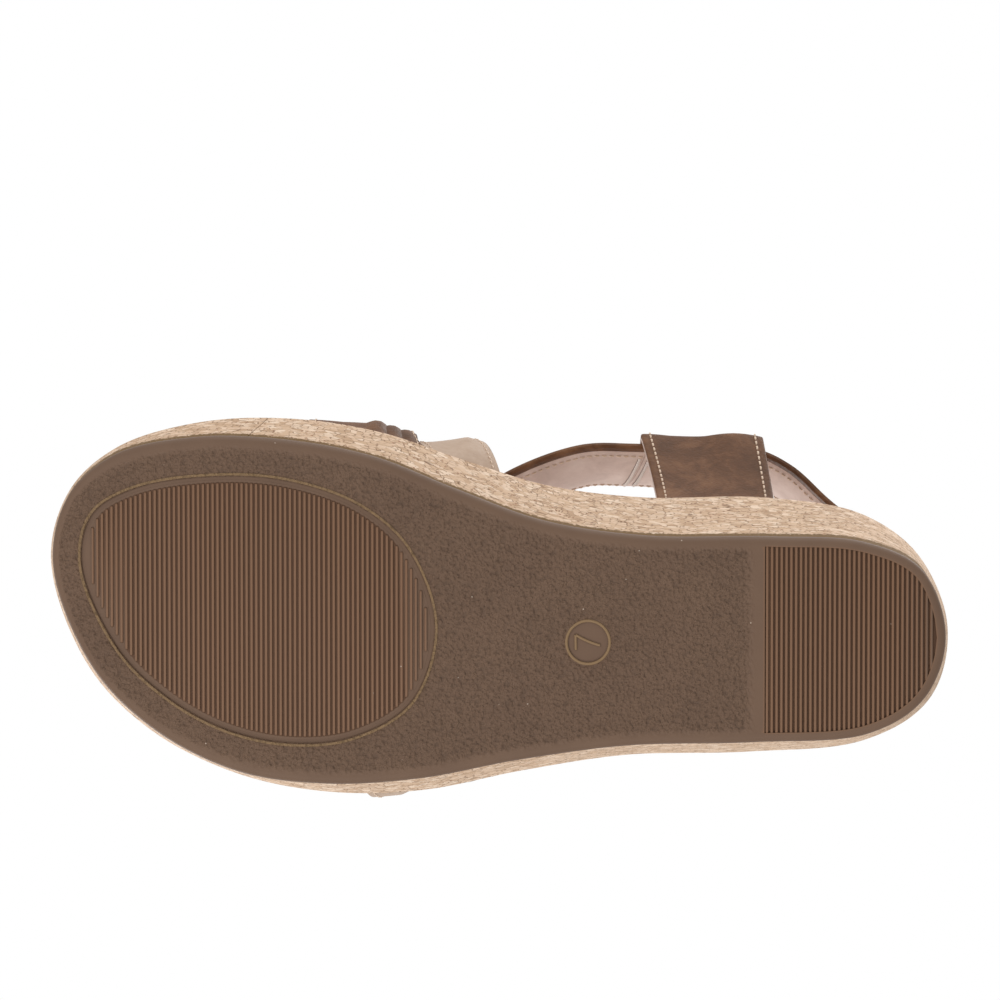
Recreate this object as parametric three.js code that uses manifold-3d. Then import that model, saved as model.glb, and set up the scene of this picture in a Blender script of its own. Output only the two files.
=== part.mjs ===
// A woman's wedge sandal for the right foot: a cork-wrapped wedge on a ribbed rubber outsole, two
// crossed straps over the forefoot, and a padded ankle collar that is held by a tab on each side and
// closes with hook-and-loop.
//
// Millimetres. +X points to the toe, +Y to the medial (big toe) side and +Z up. The origin lies on the
// sole's flat underside, halfway along the outsole.
import * as THREE from "three";
import { mergeVertices } from "three/addons/utils/BufferGeometryUtils.js";
import Module from "manifold-3d";

const wasm = await Module();
wasm.setup();

// ---------------------------------------------------------------- driving dimensions

const SOLE_LENGTH = 246;
const SOLE_WIDTH = 95.5;
const HEEL_HEIGHT = 50; // top of the cork rim above the floor, under the heel
const PLATFORM_HEIGHT = 24; // the same under the ball of the foot
const TOE_SPRING = 5; // how far the toe tip curls up off the floor
const CLEARANCE = 0.3; // gap between pieces that touch

const OUTSOLE_THICKNESS = 5;
const OUTSOLE_EDGE_RADIUS = 2.2;
const TREAD_DEPTH = 1.2; // depth of the oval recess under the ball
const RIB_HEIGHT = 0.9; // of the pad of ribs that stands in the recess
const TREAD_GUTTER = 1.5; // plain strip between the recess's wall and its ribs
const SIZE_MARK_RADIUS = 6.1;
const SIZE_MARK_HEIGHT = 0.35;
const SIZE_MARK_LINE = 0.8;

const CORK_THICKNESS = 1.6;
const CORK_SEAM = 0.4; // butt joint of the cork strip
const CORK_CLEARANCE = 0.8; // between the cork and what it wraps
const BOARD_THICKNESS = 2.2;
const FOAM_THICKNESS = 5;
const SOCK_THICKNESS = 1.2;

const LEATHER = 1.2;
const LINING = 0.8;
const PADDING = 1;
const TAPE = 1; // one half of the hook-and-loop fastening
const PIPING_HEIGHT = 1.6;
const LASTING = 11; // how far a strap's end is turned in under the insole board
const TURN_RADIUS = 2.2; // of that turn

const VAMP_HEIGHT_FRONT = 36; // inside height of the crossed straps at their front edge
const VAMP_HEIGHT_BACK = 54; // and at their back edge
const MEDIAL_BULGE = 9.5; // how far the straps swell past their slots, at their back edge
const LATERAL_BULGE = 4.2;
const COLLAR_RISE = 38; // the collar's lower edge above the heel rim, at the tabs
const COLLAR_HEIGHT = 27; // height of the collar band

// ---------------------------------------------------------------- small helpers

const { lerp, clamp, smoothstep } = THREE.MathUtils;
const v3 = (x, y, z) => new THREE.Vector3(x, y, z);

// A place along the sole, from 0 at the back of the heel to 100 at the toe tip.
const along = (percent) => (percent / 100 - 0.5) * SOLE_LENGTH;
// A place across the sole, in percent of its width from its middle line: positive is medial.
const across = (percent) => (percent / 100) * SOLE_WIDTH;

// A manifold-3d solid from shared vertices and triangles, turned face-out whichever way its triangles wind.
function solidOf(vertices, triangles) {
  const build = (tris) =>
    new wasm.Manifold(
      new wasm.Mesh({
        numProp: 3,
        vertProperties: Float32Array.from(vertices.flatMap((p) => [p.x, p.y, p.z])),
        triVerts: Uint32Array.from(tris.flat()),
      }),
    );
  const made = build(triangles);
  return made.volume() > 0 ? made : build(triangles.map(([a, b, c]) => [a, c, b]));
}

// The solid of a closed three.js geometry.
function solidFromGeometry(geometry) {
  const bare = geometry.clone();
  bare.deleteAttribute("normal");
  bare.deleteAttribute("uv");
  const merged = mergeVertices(bare, 1e-4);
  const position = merged.getAttribute("position");
  const vertices = Array.from({ length: position.count }, (_, i) => v3().fromBufferAttribute(position, i));
  const index = Array.from(merged.index.array);
  const triangles = Array.from({ length: index.length / 3 }, (_, i) => index.slice(3 * i, 3 * i + 3));
  return solidOf(vertices, triangles);
}

function geometryOf(solid) {
  const mesh = solid.getMesh();
  const positions = new Float32Array(mesh.numVert * 3);
  for (let i = 0; i < mesh.numVert; i++) {
    positions.set(mesh.vertProperties.subarray(i * mesh.numProp, i * mesh.numProp + 3), i * 3);
  }
  const geometry = new THREE.BufferGeometry();
  geometry.setAttribute("position", new THREE.BufferAttribute(positions, 3));
  geometry.setIndex(new THREE.BufferAttribute(mesh.triVerts, 1));
  return geometry;
}

// ---------------------------------------------------------------- outlines of the sole and the rim

// The outsole's edge, as [percent along, percent across, flare]: flare is how far, in millimetres, the
// cork rim above stands out past that point. From the toe tip, down the medial side to the heel, and
// back up the lateral side.
const SOLE_OUTLINE = [
  [100, 13.6, 2], [98.2, 33.4, 1], [93, 45.2, 1.1], [84.1, 50.3, 3], [74.4, 49.8, 4.8],
  [64.2, 45, 5.8], [54.9, 35.6, 6.9], [45.1, 26.4, 8], [33.7, 22, 8.2], [19.5, 21.7, 8],
  [9, 20, 5.2], [2.6, 12, 2], [0, -7.3, 3.6], [2.4, -25.1, 6.2], [8.5, -35.1, 6.5],
  [21.5, -37.7, 7.2], [35.8, -38.7, 6.4], [48, -42.9, 6], [58.9, -48.2, 5.6], [69.5, -49.7, 4.4],
  [79.4, -46.1, 2.9], [88.8, -34, 2.9], [95.7, -15.9, 2.8],
];
// The edge of the oval tread under the ball, as [percent along, percent across].
const OVAL_OUTLINE = [
  [96.7, 13.6], [95.5, 28], [90.8, 35.5], [81.3, 39.2], [73.2, 37.6], [65.4, 30.3], [60.1, 17.8],
  [57.2, -4.2], [59.8, -25.7], [66.3, -35.9], [73.6, -37.7], [80.9, -33.5], [87.4, -24.1],
  [92.7, -10.5],
];
const OUTLINE_SAMPLES = 460;
const STATIONS = 42; // cross-sections from heel to toe

// A smooth closed outline through the points; its z carries the flare.
function smoothOutline(points) {
  const curve = new THREE.CatmullRomCurve3(
    points.map(([x, y, flare = 0]) => v3(along(x), across(y), flare)), true, "centripetal");
  return curve.getPoints(OUTLINE_SAMPLES).slice(0, -1);
}

// The outline moved outwards at each point by distance(point), with its flare kept.
function offsetOutline(outline, distance) {
  const count = outline.length;
  return outline.map((point, i) => {
    const before = outline[(i + count - 1) % count];
    const after = outline[(i + 1) % count];
    const outward = v3(after.y - before.y, before.x - after.x, 0).normalize();
    return point.clone().addScaledVector(outward, distance(point));
  });
}

// Where the outline crosses the line x = constant: [medial y, lateral y].
function crossing(outline, x) {
  const hits = [];
  for (let i = 0; i < outline.length; i++) {
    const a = outline[i];
    const b = outline[(i + 1) % outline.length];
    if (a.x <= x !== b.x <= x) hits.push(lerp(a.y, b.y, (x - a.x) / (b.x - a.x)));
  }
  return [Math.max(...hits), Math.min(...hits)];
}

// The outline as a ring of points at heights heightAt(x). Points on the two sides share their x, closer
// together near the tips, so a flat strip joins each pair.
function ring(outline, heightAt) {
  const xs = outline.map((p) => p.x);
  const back = outline[xs.indexOf(Math.min(...xs))];
  const front = outline[xs.indexOf(Math.max(...xs))];
  const medial = [];
  const lateral = [];
  for (let i = 1; i < STATIONS; i++) {
    const x = lerp(back.x, front.x, 0.5 - 0.5 * Math.cos((Math.PI * i) / STATIONS));
    const [inner, outer] = crossing(outline, x);
    medial.push(v3(x, inner, heightAt(x)));
    lateral.unshift(v3(x, outer, heightAt(x)));
  }
  const tip = (p) => v3(p.x, p.y, heightAt(p.x));
  return [tip(back), ...medial, tip(front), ...lateral];
}

// A solid through a stack of rings: closed by end caps, or as a hoop whose last ring meets its first.
// The diagonals of a ring's two halves run the same way, so that sheets laid on each other keep their
// distance.
function loft(rings, hoop = false) {
  const n = rings[0].length;
  const triangles = [];
  const layers = hoop ? rings.length : rings.length - 1;
  for (let k = 0; k < layers; k++) {
    const lower = k * n;
    const upper = ((k + 1) % rings.length) * n;
    for (let i = 0; i < n; i++) {
      const j = (i + 1) % n;
      const [a, b, c, d] = [lower + i, lower + j, upper + j, upper + i];
      if (i < n / 2) triangles.push([a, b, c], [a, c, d]);
      else triangles.push([b, c, d], [b, d, a]);
    }
  }
  if (!hoop) {
    const top = (rings.length - 1) * n;
    for (let i = 0; i < n / 2; i++) {
      const a = i;
      const b = i + 1;
      const c = (n - i - 1) % n;
      const d = (n - i) % n;
      if (b !== c) triangles.push([a, c, b], [top + a, top + b, top + c]);
      if (a !== d) triangles.push([a, d, c], [top + a, top + c, top + d]);
    }
  }
  return solidOf(rings.flat(), triangles);
}

// ---------------------------------------------------------------- heights along the sandal

const BALL = along(68); // where the toe spring begins
const RAMP_FRONT = along(66); // the footbed rises between these two
const RAMP_BACK = along(16);

const groundHeight = (x) => TOE_SPRING * (clamp(x - BALL, 0, SOLE_LENGTH) / (along(100) - BALL)) ** 2;
const outsoleTop = (x) => groundHeight(x) + OUTSOLE_THICKNESS;
const rimHeight = (x) =>
  groundHeight(x) + lerp(PLATFORM_HEIGHT, HEEL_HEIGHT, 1 - smoothstep(x, RAMP_BACK, RAMP_FRONT));

const wallFoot = (x) => outsoleTop(x) + CLEARANCE;
const sockBottom = (x) => rimHeight(x) - SOCK_THICKNESS;
const foamTop = (x) => sockBottom(x) - CLEARANCE;
const foamBottom = (x) => foamTop(x) - FOAM_THICKNESS;
const boardTop = (x) => foamBottom(x) - CLEARANCE;
const boardBottom = (x) => boardTop(x) - BOARD_THICKNESS;
const coreTop = (x) => boardBottom(x) - CLEARANCE;

const soleEdge = smoothOutline(SOLE_OUTLINE);
const CORK_STEP = 0.5; // the cork's foot stands this far inside the outsole's edge

// The side wall's outline at a share t of the way up from its foot to the rim, moved inwards by inset.
const wallOutline = (t, inset) => offsetOutline(soleEdge, (p) => lerp(-CORK_STEP, p.z, t) - inset);

// ---------------------------------------------------------------- outsole

function outsole() {
  const edge = (inset, height) => {
    const outline = offsetOutline(soleEdge, () => -inset);
    return ring(outline, (x) => groundHeight(x) + height);
  };
  const r = OUTSOLE_EDGE_RADIUS;
  const body = loft([edge(r, 0), edge(0.29 * r, 0.29 * r), edge(0, r), edge(0, OUTSOLE_THICKNESS)]);

  // The oval under the ball is sunk into the sole, and keeps a ribbed pad that stands back from the
  // oval's wall.
  const below = -1;
  const oval = smoothOutline(OVAL_OUTLINE);
  const pad = offsetOutline(oval, () => -TREAD_GUTTER);
  const recess = loft([
    ring(oval, (x) => groundHeight(x) + below),
    ring(oval, (x) => groundHeight(x) + TREAD_DEPTH),
  ]);
  const padBlock = loft([
    ring(pad, (x) => groundHeight(x) + TREAD_DEPTH - RIB_HEIGHT),
    ring(pad, (x) => groundHeight(x) + OUTSOLE_THICKNESS / 2),
  ]);

  // An engraved ring stands for the size mark.
  const mark = new THREE.TorusGeometry(SIZE_MARK_RADIUS, SIZE_MARK_LINE / 2, 6, 28);
  mark.scale(1, 1, (2 * SIZE_MARK_HEIGHT) / SIZE_MARK_LINE).translate(along(39.8), across(-8), 0);
  return body.subtract(recess).add(padBlock).subtract(solidFromGeometry(mark));
}

// ---------------------------------------------------------------- wedge, cork and footbed

// The side wall's outline at a depth below the rim, moved inwards by inset.
function wallAtDepth(depth, inset) {
  const share = (x) => 1 - depth / (rimHeight(x) - wallFoot(x));
  return offsetOutline(soleEdge, (p) => lerp(-CORK_STEP, p.z, share(p.x)) - inset);
}

const BEHIND_CORK = CORK_THICKNESS + CORK_CLEARANCE;
const SLOT_DEPTH = SOCK_THICKNESS + FOAM_THICKNESS + BOARD_THICKNESS + 3 * CLEARANCE; // rim to core

function corkWrap() {
  const shell = loft([
    ring(wallOutline(0, 0), wallFoot),
    ring(wallOutline(1, 0), rimHeight),
    ring(wallOutline(1, CORK_THICKNESS), rimHeight),
    ring(wallOutline(0, CORK_THICKNESS), wallFoot),
  ], true);
  // The strip's two ends meet in a slanting butt joint beside the big toe.
  const seam = new THREE.BoxGeometry(CORK_SEAM, 20, 3 * PLATFORM_HEIGHT);
  seam.rotateY(-Math.atan2(along(2.5) - along(0), PLATFORM_HEIGHT - OUTSOLE_THICKNESS));
  seam.translate(along(77.6), across(53), PLATFORM_HEIGHT / 2);
  return shell.subtract(solidFromGeometry(seam));
}

// What lies inside the cork between two depths below the rim, with a notch for each strap that passes it.
function footbedLayer(top, bottom, notches) {
  const layer = loft([
    ring(wallAtDepth(bottom, BEHIND_CORK), (x) => rimHeight(x) - bottom),
    ring(wallAtDepth(top, BEHIND_CORK), (x) => rimHeight(x) - top),
  ]);
  return layer.subtract(notches);
}

// The wedge fills the cork from the outsole up to the footbed.
function wedgeCore(notches) {
  const block = loft([
    ring(wallOutline(0, BEHIND_CORK), wallFoot),
    ring(wallAtDepth(SLOT_DEPTH, BEHIND_CORK), coreTop),
  ]);
  return block.subtract(notches);
}

// ---------------------------------------------------------------- thin sheets

// The outward normals of a grid of points, which has its rows along a sheet and its columns across it.
function normalsOf(grid) {
  const last = grid.length - 1;
  return grid.map((row, i) =>
    row.map((_, j) => {
      const lengthways = grid[Math.min(i + 1, last)][j].clone().sub(grid[Math.max(i - 1, 0)][j]);
      const crossways = row[Math.min(j + 1, row.length - 1)].clone().sub(row[Math.max(j - 1, 0)]);
      return lengthways.cross(crossways).normalize();
    }),
  );
}

const offsetGrid = (grid, distance) => {
  const normals = normalsOf(grid);
  return grid.map((row, i) => row.map((p, j) => p.clone().addScaledVector(normals[i][j], distance)));
};

// The solid between two offsets from a grid.
function sheet(grid, from, to) {
  const inner = offsetGrid(grid, from);
  const outer = offsetGrid(grid, to);
  return loft(inner.map((row, i) => [...row, ...outer[i].toReversed()]));
}

// The grid with its four borders moved outwards.
function grown(grid, by) {
  const beyond = (p, q) => p.clone().addScaledVector(p.clone().sub(q).normalize(), by);
  const stretched = (line) => {
    const last = beyond(line.at(-1), line.at(-2));
    return [beyond(line[0], line[1]), ...line.slice(1, -1), last];
  };
  const wider = grid.map(stretched);
  const columns = wider[0].map((_, j) => stretched(wider.map((row) => row[j])));
  return wider.map((_, i) => columns.map((column) => column[i]));
}

// ---------------------------------------------------------------- where straps leave the footbed

const STRAP = LINING + CLEARANCE + LEATHER; // whole thickness of a strap
const RISE_OVER_RIM = 3; // a strap runs straight to here before it bends outwards
const slotTop = wallAtDepth(0, BEHIND_CORK + STRAP + CLEARANCE);
const slotFoot = wallAtDepth(SLOT_DEPTH, BEHIND_CORK + STRAP + CLEARANCE);

// A strap's inner face at place x, from its end under the insole board, round its turn and up behind the
// cork to just over the rim. side is 1 on the medial side and -1 on the lateral side.
function strapRoot(x, side) {
  const edge = side > 0 ? 0 : 1;
  const top = crossing(slotTop, x)[edge];
  const foot = crossing(slotFoot, x)[edge];
  const floor = coreTop(x);
  const turn = (degrees) => {
    const angle = THREE.MathUtils.degToRad(degrees);
    const inwards = TURN_RADIUS * (1 - Math.sin(angle));
    return v3(x, foot - side * inwards, floor + TURN_RADIUS * (1 - Math.cos(angle)));
  };
  const lean = (top - foot) / SLOT_DEPTH;
  return [
    v3(x, foot - side * LASTING, floor),
    ...[0, 30, 60, 90].map(turn),
    v3(x, top, rimHeight(x)),
    v3(x, top + lean * RISE_OVER_RIM, rimHeight(x) + RISE_OVER_RIM),
  ];
}

// ---------------------------------------------------------------- crossed straps

// Each strap's front and back edge at its two ends, in percent along the sole.
const FRONT_STRAP = { medial: [72, 58.6], lateral: [57.9, 50.2] };
const REAR_STRAP = { medial: [58.3, 49.9], lateral: [65.7, 58.2] };
const STRAP_COLUMNS = 4;
const ARCH_ROWS = 20;
const CROSSING_LIFT = STRAP + CLEARANCE; // the front strap rides this far over the rear one

// A point on the foot-shaped arch at place x: t runs from the medial rim over the crown to the lateral rim.
function archPoint(x, t) {
  const medial = strapRoot(x, 1).at(-1);
  const lateral = strapRoot(x, -1).at(-1);
  const front = along(FRONT_STRAP.medial[0]);
  const back = (front - x) / (front - along(REAR_STRAP.medial[1]));
  const height = lerp(VAMP_HEIGHT_FRONT, VAMP_HEIGHT_BACK, back);
  const crown = v3(x, lerp(lateral.y, medial.y, 0.56), rimHeight(x) + height);
  const side = t < 0.5 ? 1 : -1;
  const start = t < 0.5 ? medial : lateral;
  const bulge = t < 0.5 ? MEDIAL_BULGE * clamp(back, 0, 1) ** 2 : LATERAL_BULGE;
  const swell = v3(x, start.y + side * 3 * bulge, start.z + 0.62 * height);
  const shoulder = v3(x, lerp(crown.y, start.y, 0.7), crown.z);
  const curve = new THREE.CubicBezierCurve3(start, swell, shoulder, crown);
  return curve.getPoint(t < 0.5 ? 2 * t : 2 - 2 * t);
}

// The inner face of a crossed strap, from its medial end to its lateral end; lift raises it over another
// strap.
function crossedStrap(strap, lift) {
  const columns = Array.from({ length: STRAP_COLUMNS }, (_, j) => {
    const share = j / (STRAP_COLUMNS - 1);
    const medialX = along(lerp(...strap.medial, share));
    const lateralX = along(lerp(...strap.lateral, share));
    const arch = Array.from({ length: ARCH_ROWS - 1 }, (_, i) => {
      const t = (i + 1) / ARCH_ROWS;
      return archPoint(lerp(medialX, lateralX, smoothstep(t, 0.12, 0.88)), t);
    });
    return [...strapRoot(medialX, 1), ...arch, ...strapRoot(lateralX, -1).reverse()];
  });
  const grid = columns[0].map((_, i) => columns.map((column) => column[i]).reverse());
  const raised = offsetGrid(grid, lift);
  const firstArchRow = strapRoot(along(strap.medial[0]), 1).length;
  return grid.map((row, i) => {
    const t = clamp((i - firstArchRow + 1) / ARCH_ROWS, 0, 1);
    const share = smoothstep(t, 0.01, 0.12) * (1 - smoothstep(t, 0.88, 0.99));
    return row.map((p, j) => p.clone().lerp(raised[i][j], share));
  });
}

// ---------------------------------------------------------------- ankle collar

// The collar's lower edge as [percent along, percent across, height over its lowest side].
const COLLAR_LINE = [
  [56.5, 1.5, 12], [54.4, 19, 9], [49.3, 30.6, 5], [40.5, 39.6, 3], [34.5, 40.1, 2.3], [27, 39, 1.5],
  [20.5, 38.9, 1], [16.5, 34.2, 0.4], [12.8, 25.6, -0.2], [7.2, 12, -2], [4.9, -5.5, -3], [7.4, -22.5, -2], [14, -33.5, 0], [23, -37.8, 1],
  [33, -37.8, 2], [43, -33.6, 4], [51, -25.4, 7], [55.3, -14, 10],
];
const FRONT_LEAN = 11.5; // the band leans in by this much over its height, at the front and sides
const BACK_LEAN = 4;

const collarBase = HEEL_HEIGHT + COLLAR_RISE;
const collarPoints = COLLAR_LINE.map(([x, y, rise]) => v3(along(x), across(y), collarBase + rise));
const collarLine = new THREE.CatmullRomCurve3(collarPoints, true, "centripetal");

// A point on the collar's inner face: u runs once round from the instep over the medial side, and v runs
// up the band.
function collarPoint(u, v) {
  const turn = (u + 1) % 1;
  const base = collarLine.getPointAt(turn);
  const tangent = collarLine.getTangentAt(turn);
  const inward = v3(-tangent.y, tangent.x, 0).normalize();
  const lean = lerp(BACK_LEAN, FRONT_LEAN, smoothstep(base.x, along(4), along(24)));
  return base.addScaledVector(inward, lean * v).add(v3(0, 0, COLLAR_HEIGHT * v));
}

// The place u of a point on the collar's lower edge: percent along the sole, on the medial (1) or
// lateral (-1) side.
function collarPlace(percent, side) {
  const samples = 2000;
  const misses = Array.from({ length: samples }, (_, i) => {
    const p = collarLine.getPointAt(i / samples);
    return p.y * side > across(1) ? Math.abs(p.x - along(percent)) : Infinity;
  });
  return misses.indexOf(Math.min(...misses)) / samples;
}

const SEAM_FOOT = collarPlace(35.9, 1); // the slanting seam between heel strap and instep strap
const SEAM_HEAD = collarPlace(33.1, 1);
const FOLD = collarPlace(49.5, -1) - 1; // where the closing flap hinges
const TAIL = collarPlace(37.5, -1) - 1; // the flap's free end
const END_GAP = CLEARANCE / collarLine.getLength();
const seamPlace = (v) => lerp(SEAM_FOOT, SEAM_HEAD, v);

const BAND = LINING + PADDING + LEATHER + 2 * CLEARANCE; // whole thickness of the collar
const TAPE_GAP = 2 * CLEARANCE; // the hooks' tape stands this far off the loops' tape
const FASTENING = 2 * TAPE + TAPE_GAP + 2 * CLEARANCE; // hook-and-loop between the two laps
const PIPED = [CLEARANCE / COLLAR_HEIGHT, (CLEARANCE + PIPING_HEIGHT) / COLLAR_HEIGHT];

// A grid on the collar between two places, each given as a function of v, over a range of v. standOff(u)
// lifts it.
function collarGrid(start, end, [low, high], steps, standOff = () => 0) {
  const rows = high - low > 0.5 ? 2 : 1;
  const places = Array.from({ length: steps + 1 }, (_, i) =>
    Array.from({ length: rows + 1 }, (_, j) => {
      const v = lerp(low, high, j / rows);
      return [lerp(start(v), end(v), i / steps), v];
    }),
  );
  const grid = places.map((row) => row.map((place) => collarPoint(...place)));
  const normals = normalsOf(grid);
  const lifted = (p, i, j) => p.addScaledVector(normals[i][j], standOff(places[i][j][0]));
  return grid.map((row, i) => row.map((p, j) => lifted(p, i, j)));
}

const HEEL_STEPS = 28;
const INSTEP_STEPS = 18;
const UNDERLAP_END = 0.01; // of the way round, ahead of which the heel strap stops short of the fold
const heelStart = (v) => seamPlace(v) + END_GAP;
const heelEnd = () => FOLD + 1 - UNDERLAP_END;
const instepEnd = (v) => seamPlace(v) - END_GAP;
// The instep strap comes off the lapped end of the heel strap and sinks to the band's own level.
const lapHeight = FASTENING + LEATHER; // so its outer layer runs on into the flap
const instepStandOff = (u) => lapHeight * (1 - smoothstep(u, FOLD + 0.02, FOLD + 0.15));

const heelGrid = (range) => collarGrid(heelStart, heelEnd, range, HEEL_STEPS);
const instepGrid = (range) => collarGrid(() => FOLD, instepEnd, range, INSTEP_STEPS, instepStandOff);

// The layers of a collar band, from the skin outwards.
function bandLayers(name, grid, dress) {
  const paddingFoot = LINING + CLEARANCE;
  const outerFoot = paddingFoot + PADDING + CLEARANCE;
  return [
    [`${name}_lining`, sheet(grid([0, 1]), 0, LINING), dress.lining],
    [`${name}_padding`, sheet(grid([0, 1]), paddingFoot, paddingFoot + PADDING), dress.padding],
    [`${name}_outer`, sheet(grid([0, 1]), outerFoot, BAND), dress.outer],
    [`${name}_lower_binding`, sheet(grid([-PIPED[1], -PIPED[0]]), 0, BAND), dress.binding],
    [`${name}_upper_binding`, sheet(grid([1 + PIPED[0], 1 + PIPED[1]]), 0, BAND), dress.binding],
  ];
}

// The flap and both halves of its fastening lie between the flap's free end and its fold.
function closure() {
  const flapGrid = collarGrid(() => TAIL, () => FOLD - END_GAP, [0, 1], 8);
  const patchMargin = 2 / COLLAR_HEIGHT;
  const patchGrid = (start, end) =>
    collarGrid(() => start, () => end, [patchMargin, 1 - patchMargin], 8);
  const tapeInset = UNDERLAP_END + END_GAP;
  const tapes = patchGrid(TAIL + 4 * END_GAP, FOLD - tapeInset);
  const loopFoot = BAND + CLEARANCE;
  const hookFoot = loopFoot + TAPE + TAPE_GAP;
  const flapFoot = hookFoot + TAPE + CLEARANCE;
  return [
    ["loop_patch", sheet(tapes, loopFoot, loopFoot + TAPE), TAPE_DARK],
    ["hook_patch", sheet(tapes, hookFoot, hookFoot + TAPE), TAPE_DARK],
    ["closure_flap", sheet(flapGrid, flapFoot, flapFoot + LEATHER), BROWN_LEATHER],
  ];
}

// ---------------------------------------------------------------- tabs between the sole and the collar

// Each tab's front and back edge at the rim and at the collar, in percent along the sole.
const MEDIAL_TAB = { side: 1, rim: [31.8, 18.3], collar: [33.5, 20.5] };
const LATERAL_TAB = { side: -1, rim: [34.8, 21.9], collar: [36, 23] };
const TAB_LAP = 0.5; // share of the collar's height that a tab covers
const TAB_COLUMNS = 4;

// The inner face of a tab, from its end under the board to its end on the collar.
function tabGrid(tab) {
  const standOff = BAND + 2 * CLEARANCE;
  const columns = Array.from({ length: TAB_COLUMNS }, (_, j) => {
    const share = j / (TAB_COLUMNS - 1);
    const root = strapRoot(along(lerp(...tab.rim, share)), tab.side);
    const place = collarPlace(lerp(...tab.collar, share), tab.side);
    const outward = (v) => {
      const step = 0.004;
      const round = collarPoint(place + step, v).sub(collarPoint(place - step, v));
      const up = collarPoint(place, v + 0.1).sub(collarPoint(place, v - 0.1));
      return up.cross(round).normalize().negate();
    };
    const onCollar = (v) => collarPoint(place, v).addScaledVector(outward(v), standOff);
    const lap = [-2 * PIPED[1], 0, 0.17, 0.34, TAB_LAP].map(onCollar);
    const rise = root.at(-1).clone().sub(root.at(-2)).normalize();
    const arrive = lap[1].clone().sub(lap[0]).normalize();
    const span = lap[0].distanceTo(root.at(-1));
    const bend = new THREE.CubicBezierCurve3(
      root.at(-1),
      root.at(-1).clone().addScaledVector(rise, 0.35 * span),
      lap[0].clone().addScaledVector(arrive, -0.3 * span),
      lap[0],
    );
    return [...root, ...bend.getPoints(9).slice(1, -1), ...lap];
  });
  const grid = columns[0].map((_, i) => columns.map((column) => column[i]));
  return tab.side > 0 ? grid.map((row) => row.toReversed()) : grid;
}

// ---------------------------------------------------------------- materials and assembly

const material = (color, roughness) => new THREE.MeshStandardMaterial({ color, roughness, metalness: 0 });
const RUBBER = material("#715c4d", 0.75);
const CORK = material("#cdb49d", 0.85);
const EVA = material("#d8d2c8", 0.9);
const BOARD = material("#b9a88f", 0.9);
const BROWN_LEATHER = material("#715443", 0.55);
const TAN_LEATHER = material("#c4ae9c", 0.55);
const PALE_LINING = material("#b9a599", 0.8);
const FOAM = material("#e6e0d4", 0.95);
const TAPE_DARK = material("#4a3a30", 0.95);

const sandal = new THREE.Group();
function place(name, solid, look) {
  const mesh = new THREE.Mesh(geometryOf(solid), look);
  mesh.name = name;
  sandal.add(mesh);
}

// The two layers of a strap or tab.
function placeStrap(name, grid, look) {
  place(`${name}_lining`, sheet(grid, 0, LINING), PALE_LINING);
  place(`${name}_outer`, sheet(grid, LINING + CLEARANCE, STRAP), look);
}

const straps = [
  ["front_strap", crossedStrap(FRONT_STRAP, CROSSING_LIFT), BROWN_LEATHER],
  ["rear_strap", crossedStrap(REAR_STRAP, 0), TAN_LEATHER],
  ["medial_tab", tabGrid(MEDIAL_TAB), BROWN_LEATHER],
  ["lateral_tab", tabGrid(LATERAL_TAB), BROWN_LEATHER],
];
const overcut = 4 * CLEARANCE; // so that no sliver is left between a notch and the cork
const notches = wasm.Manifold.union(
  straps.map(([, grid]) => sheet(grown(grid, CLEARANCE), -CLEARANCE, STRAP + CLEARANCE + overcut)));

const foamDepth = SOCK_THICKNESS + CLEARANCE;
const boardDepth = foamDepth + FOAM_THICKNESS + CLEARANCE;
place("outsole", outsole(), RUBBER);
place("wedge_core", wedgeCore(notches), EVA);
place("cork_wrap", corkWrap(), CORK);
place("insole_board", footbedLayer(boardDepth, boardDepth + BOARD_THICKNESS, notches), BOARD);
place("footbed_foam", footbedLayer(foamDepth, foamDepth + FOAM_THICKNESS, notches), FOAM);
place("sock_lining", footbedLayer(0, SOCK_THICKNESS, notches), PALE_LINING);
straps.forEach((strap) => placeStrap(...strap));

const heelDress = { lining: PALE_LINING, padding: FOAM, outer: TAN_LEATHER, binding: BROWN_LEATHER };
const instepDress = { ...heelDress, outer: BROWN_LEATHER };
bandLayers("heel_strap", heelGrid, heelDress).forEach((piece) => place(...piece));
bandLayers("instep_strap", instepGrid, instepDress).forEach((piece) => place(...piece));
closure().forEach((piece) => place(...piece));

export default sandal;
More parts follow.
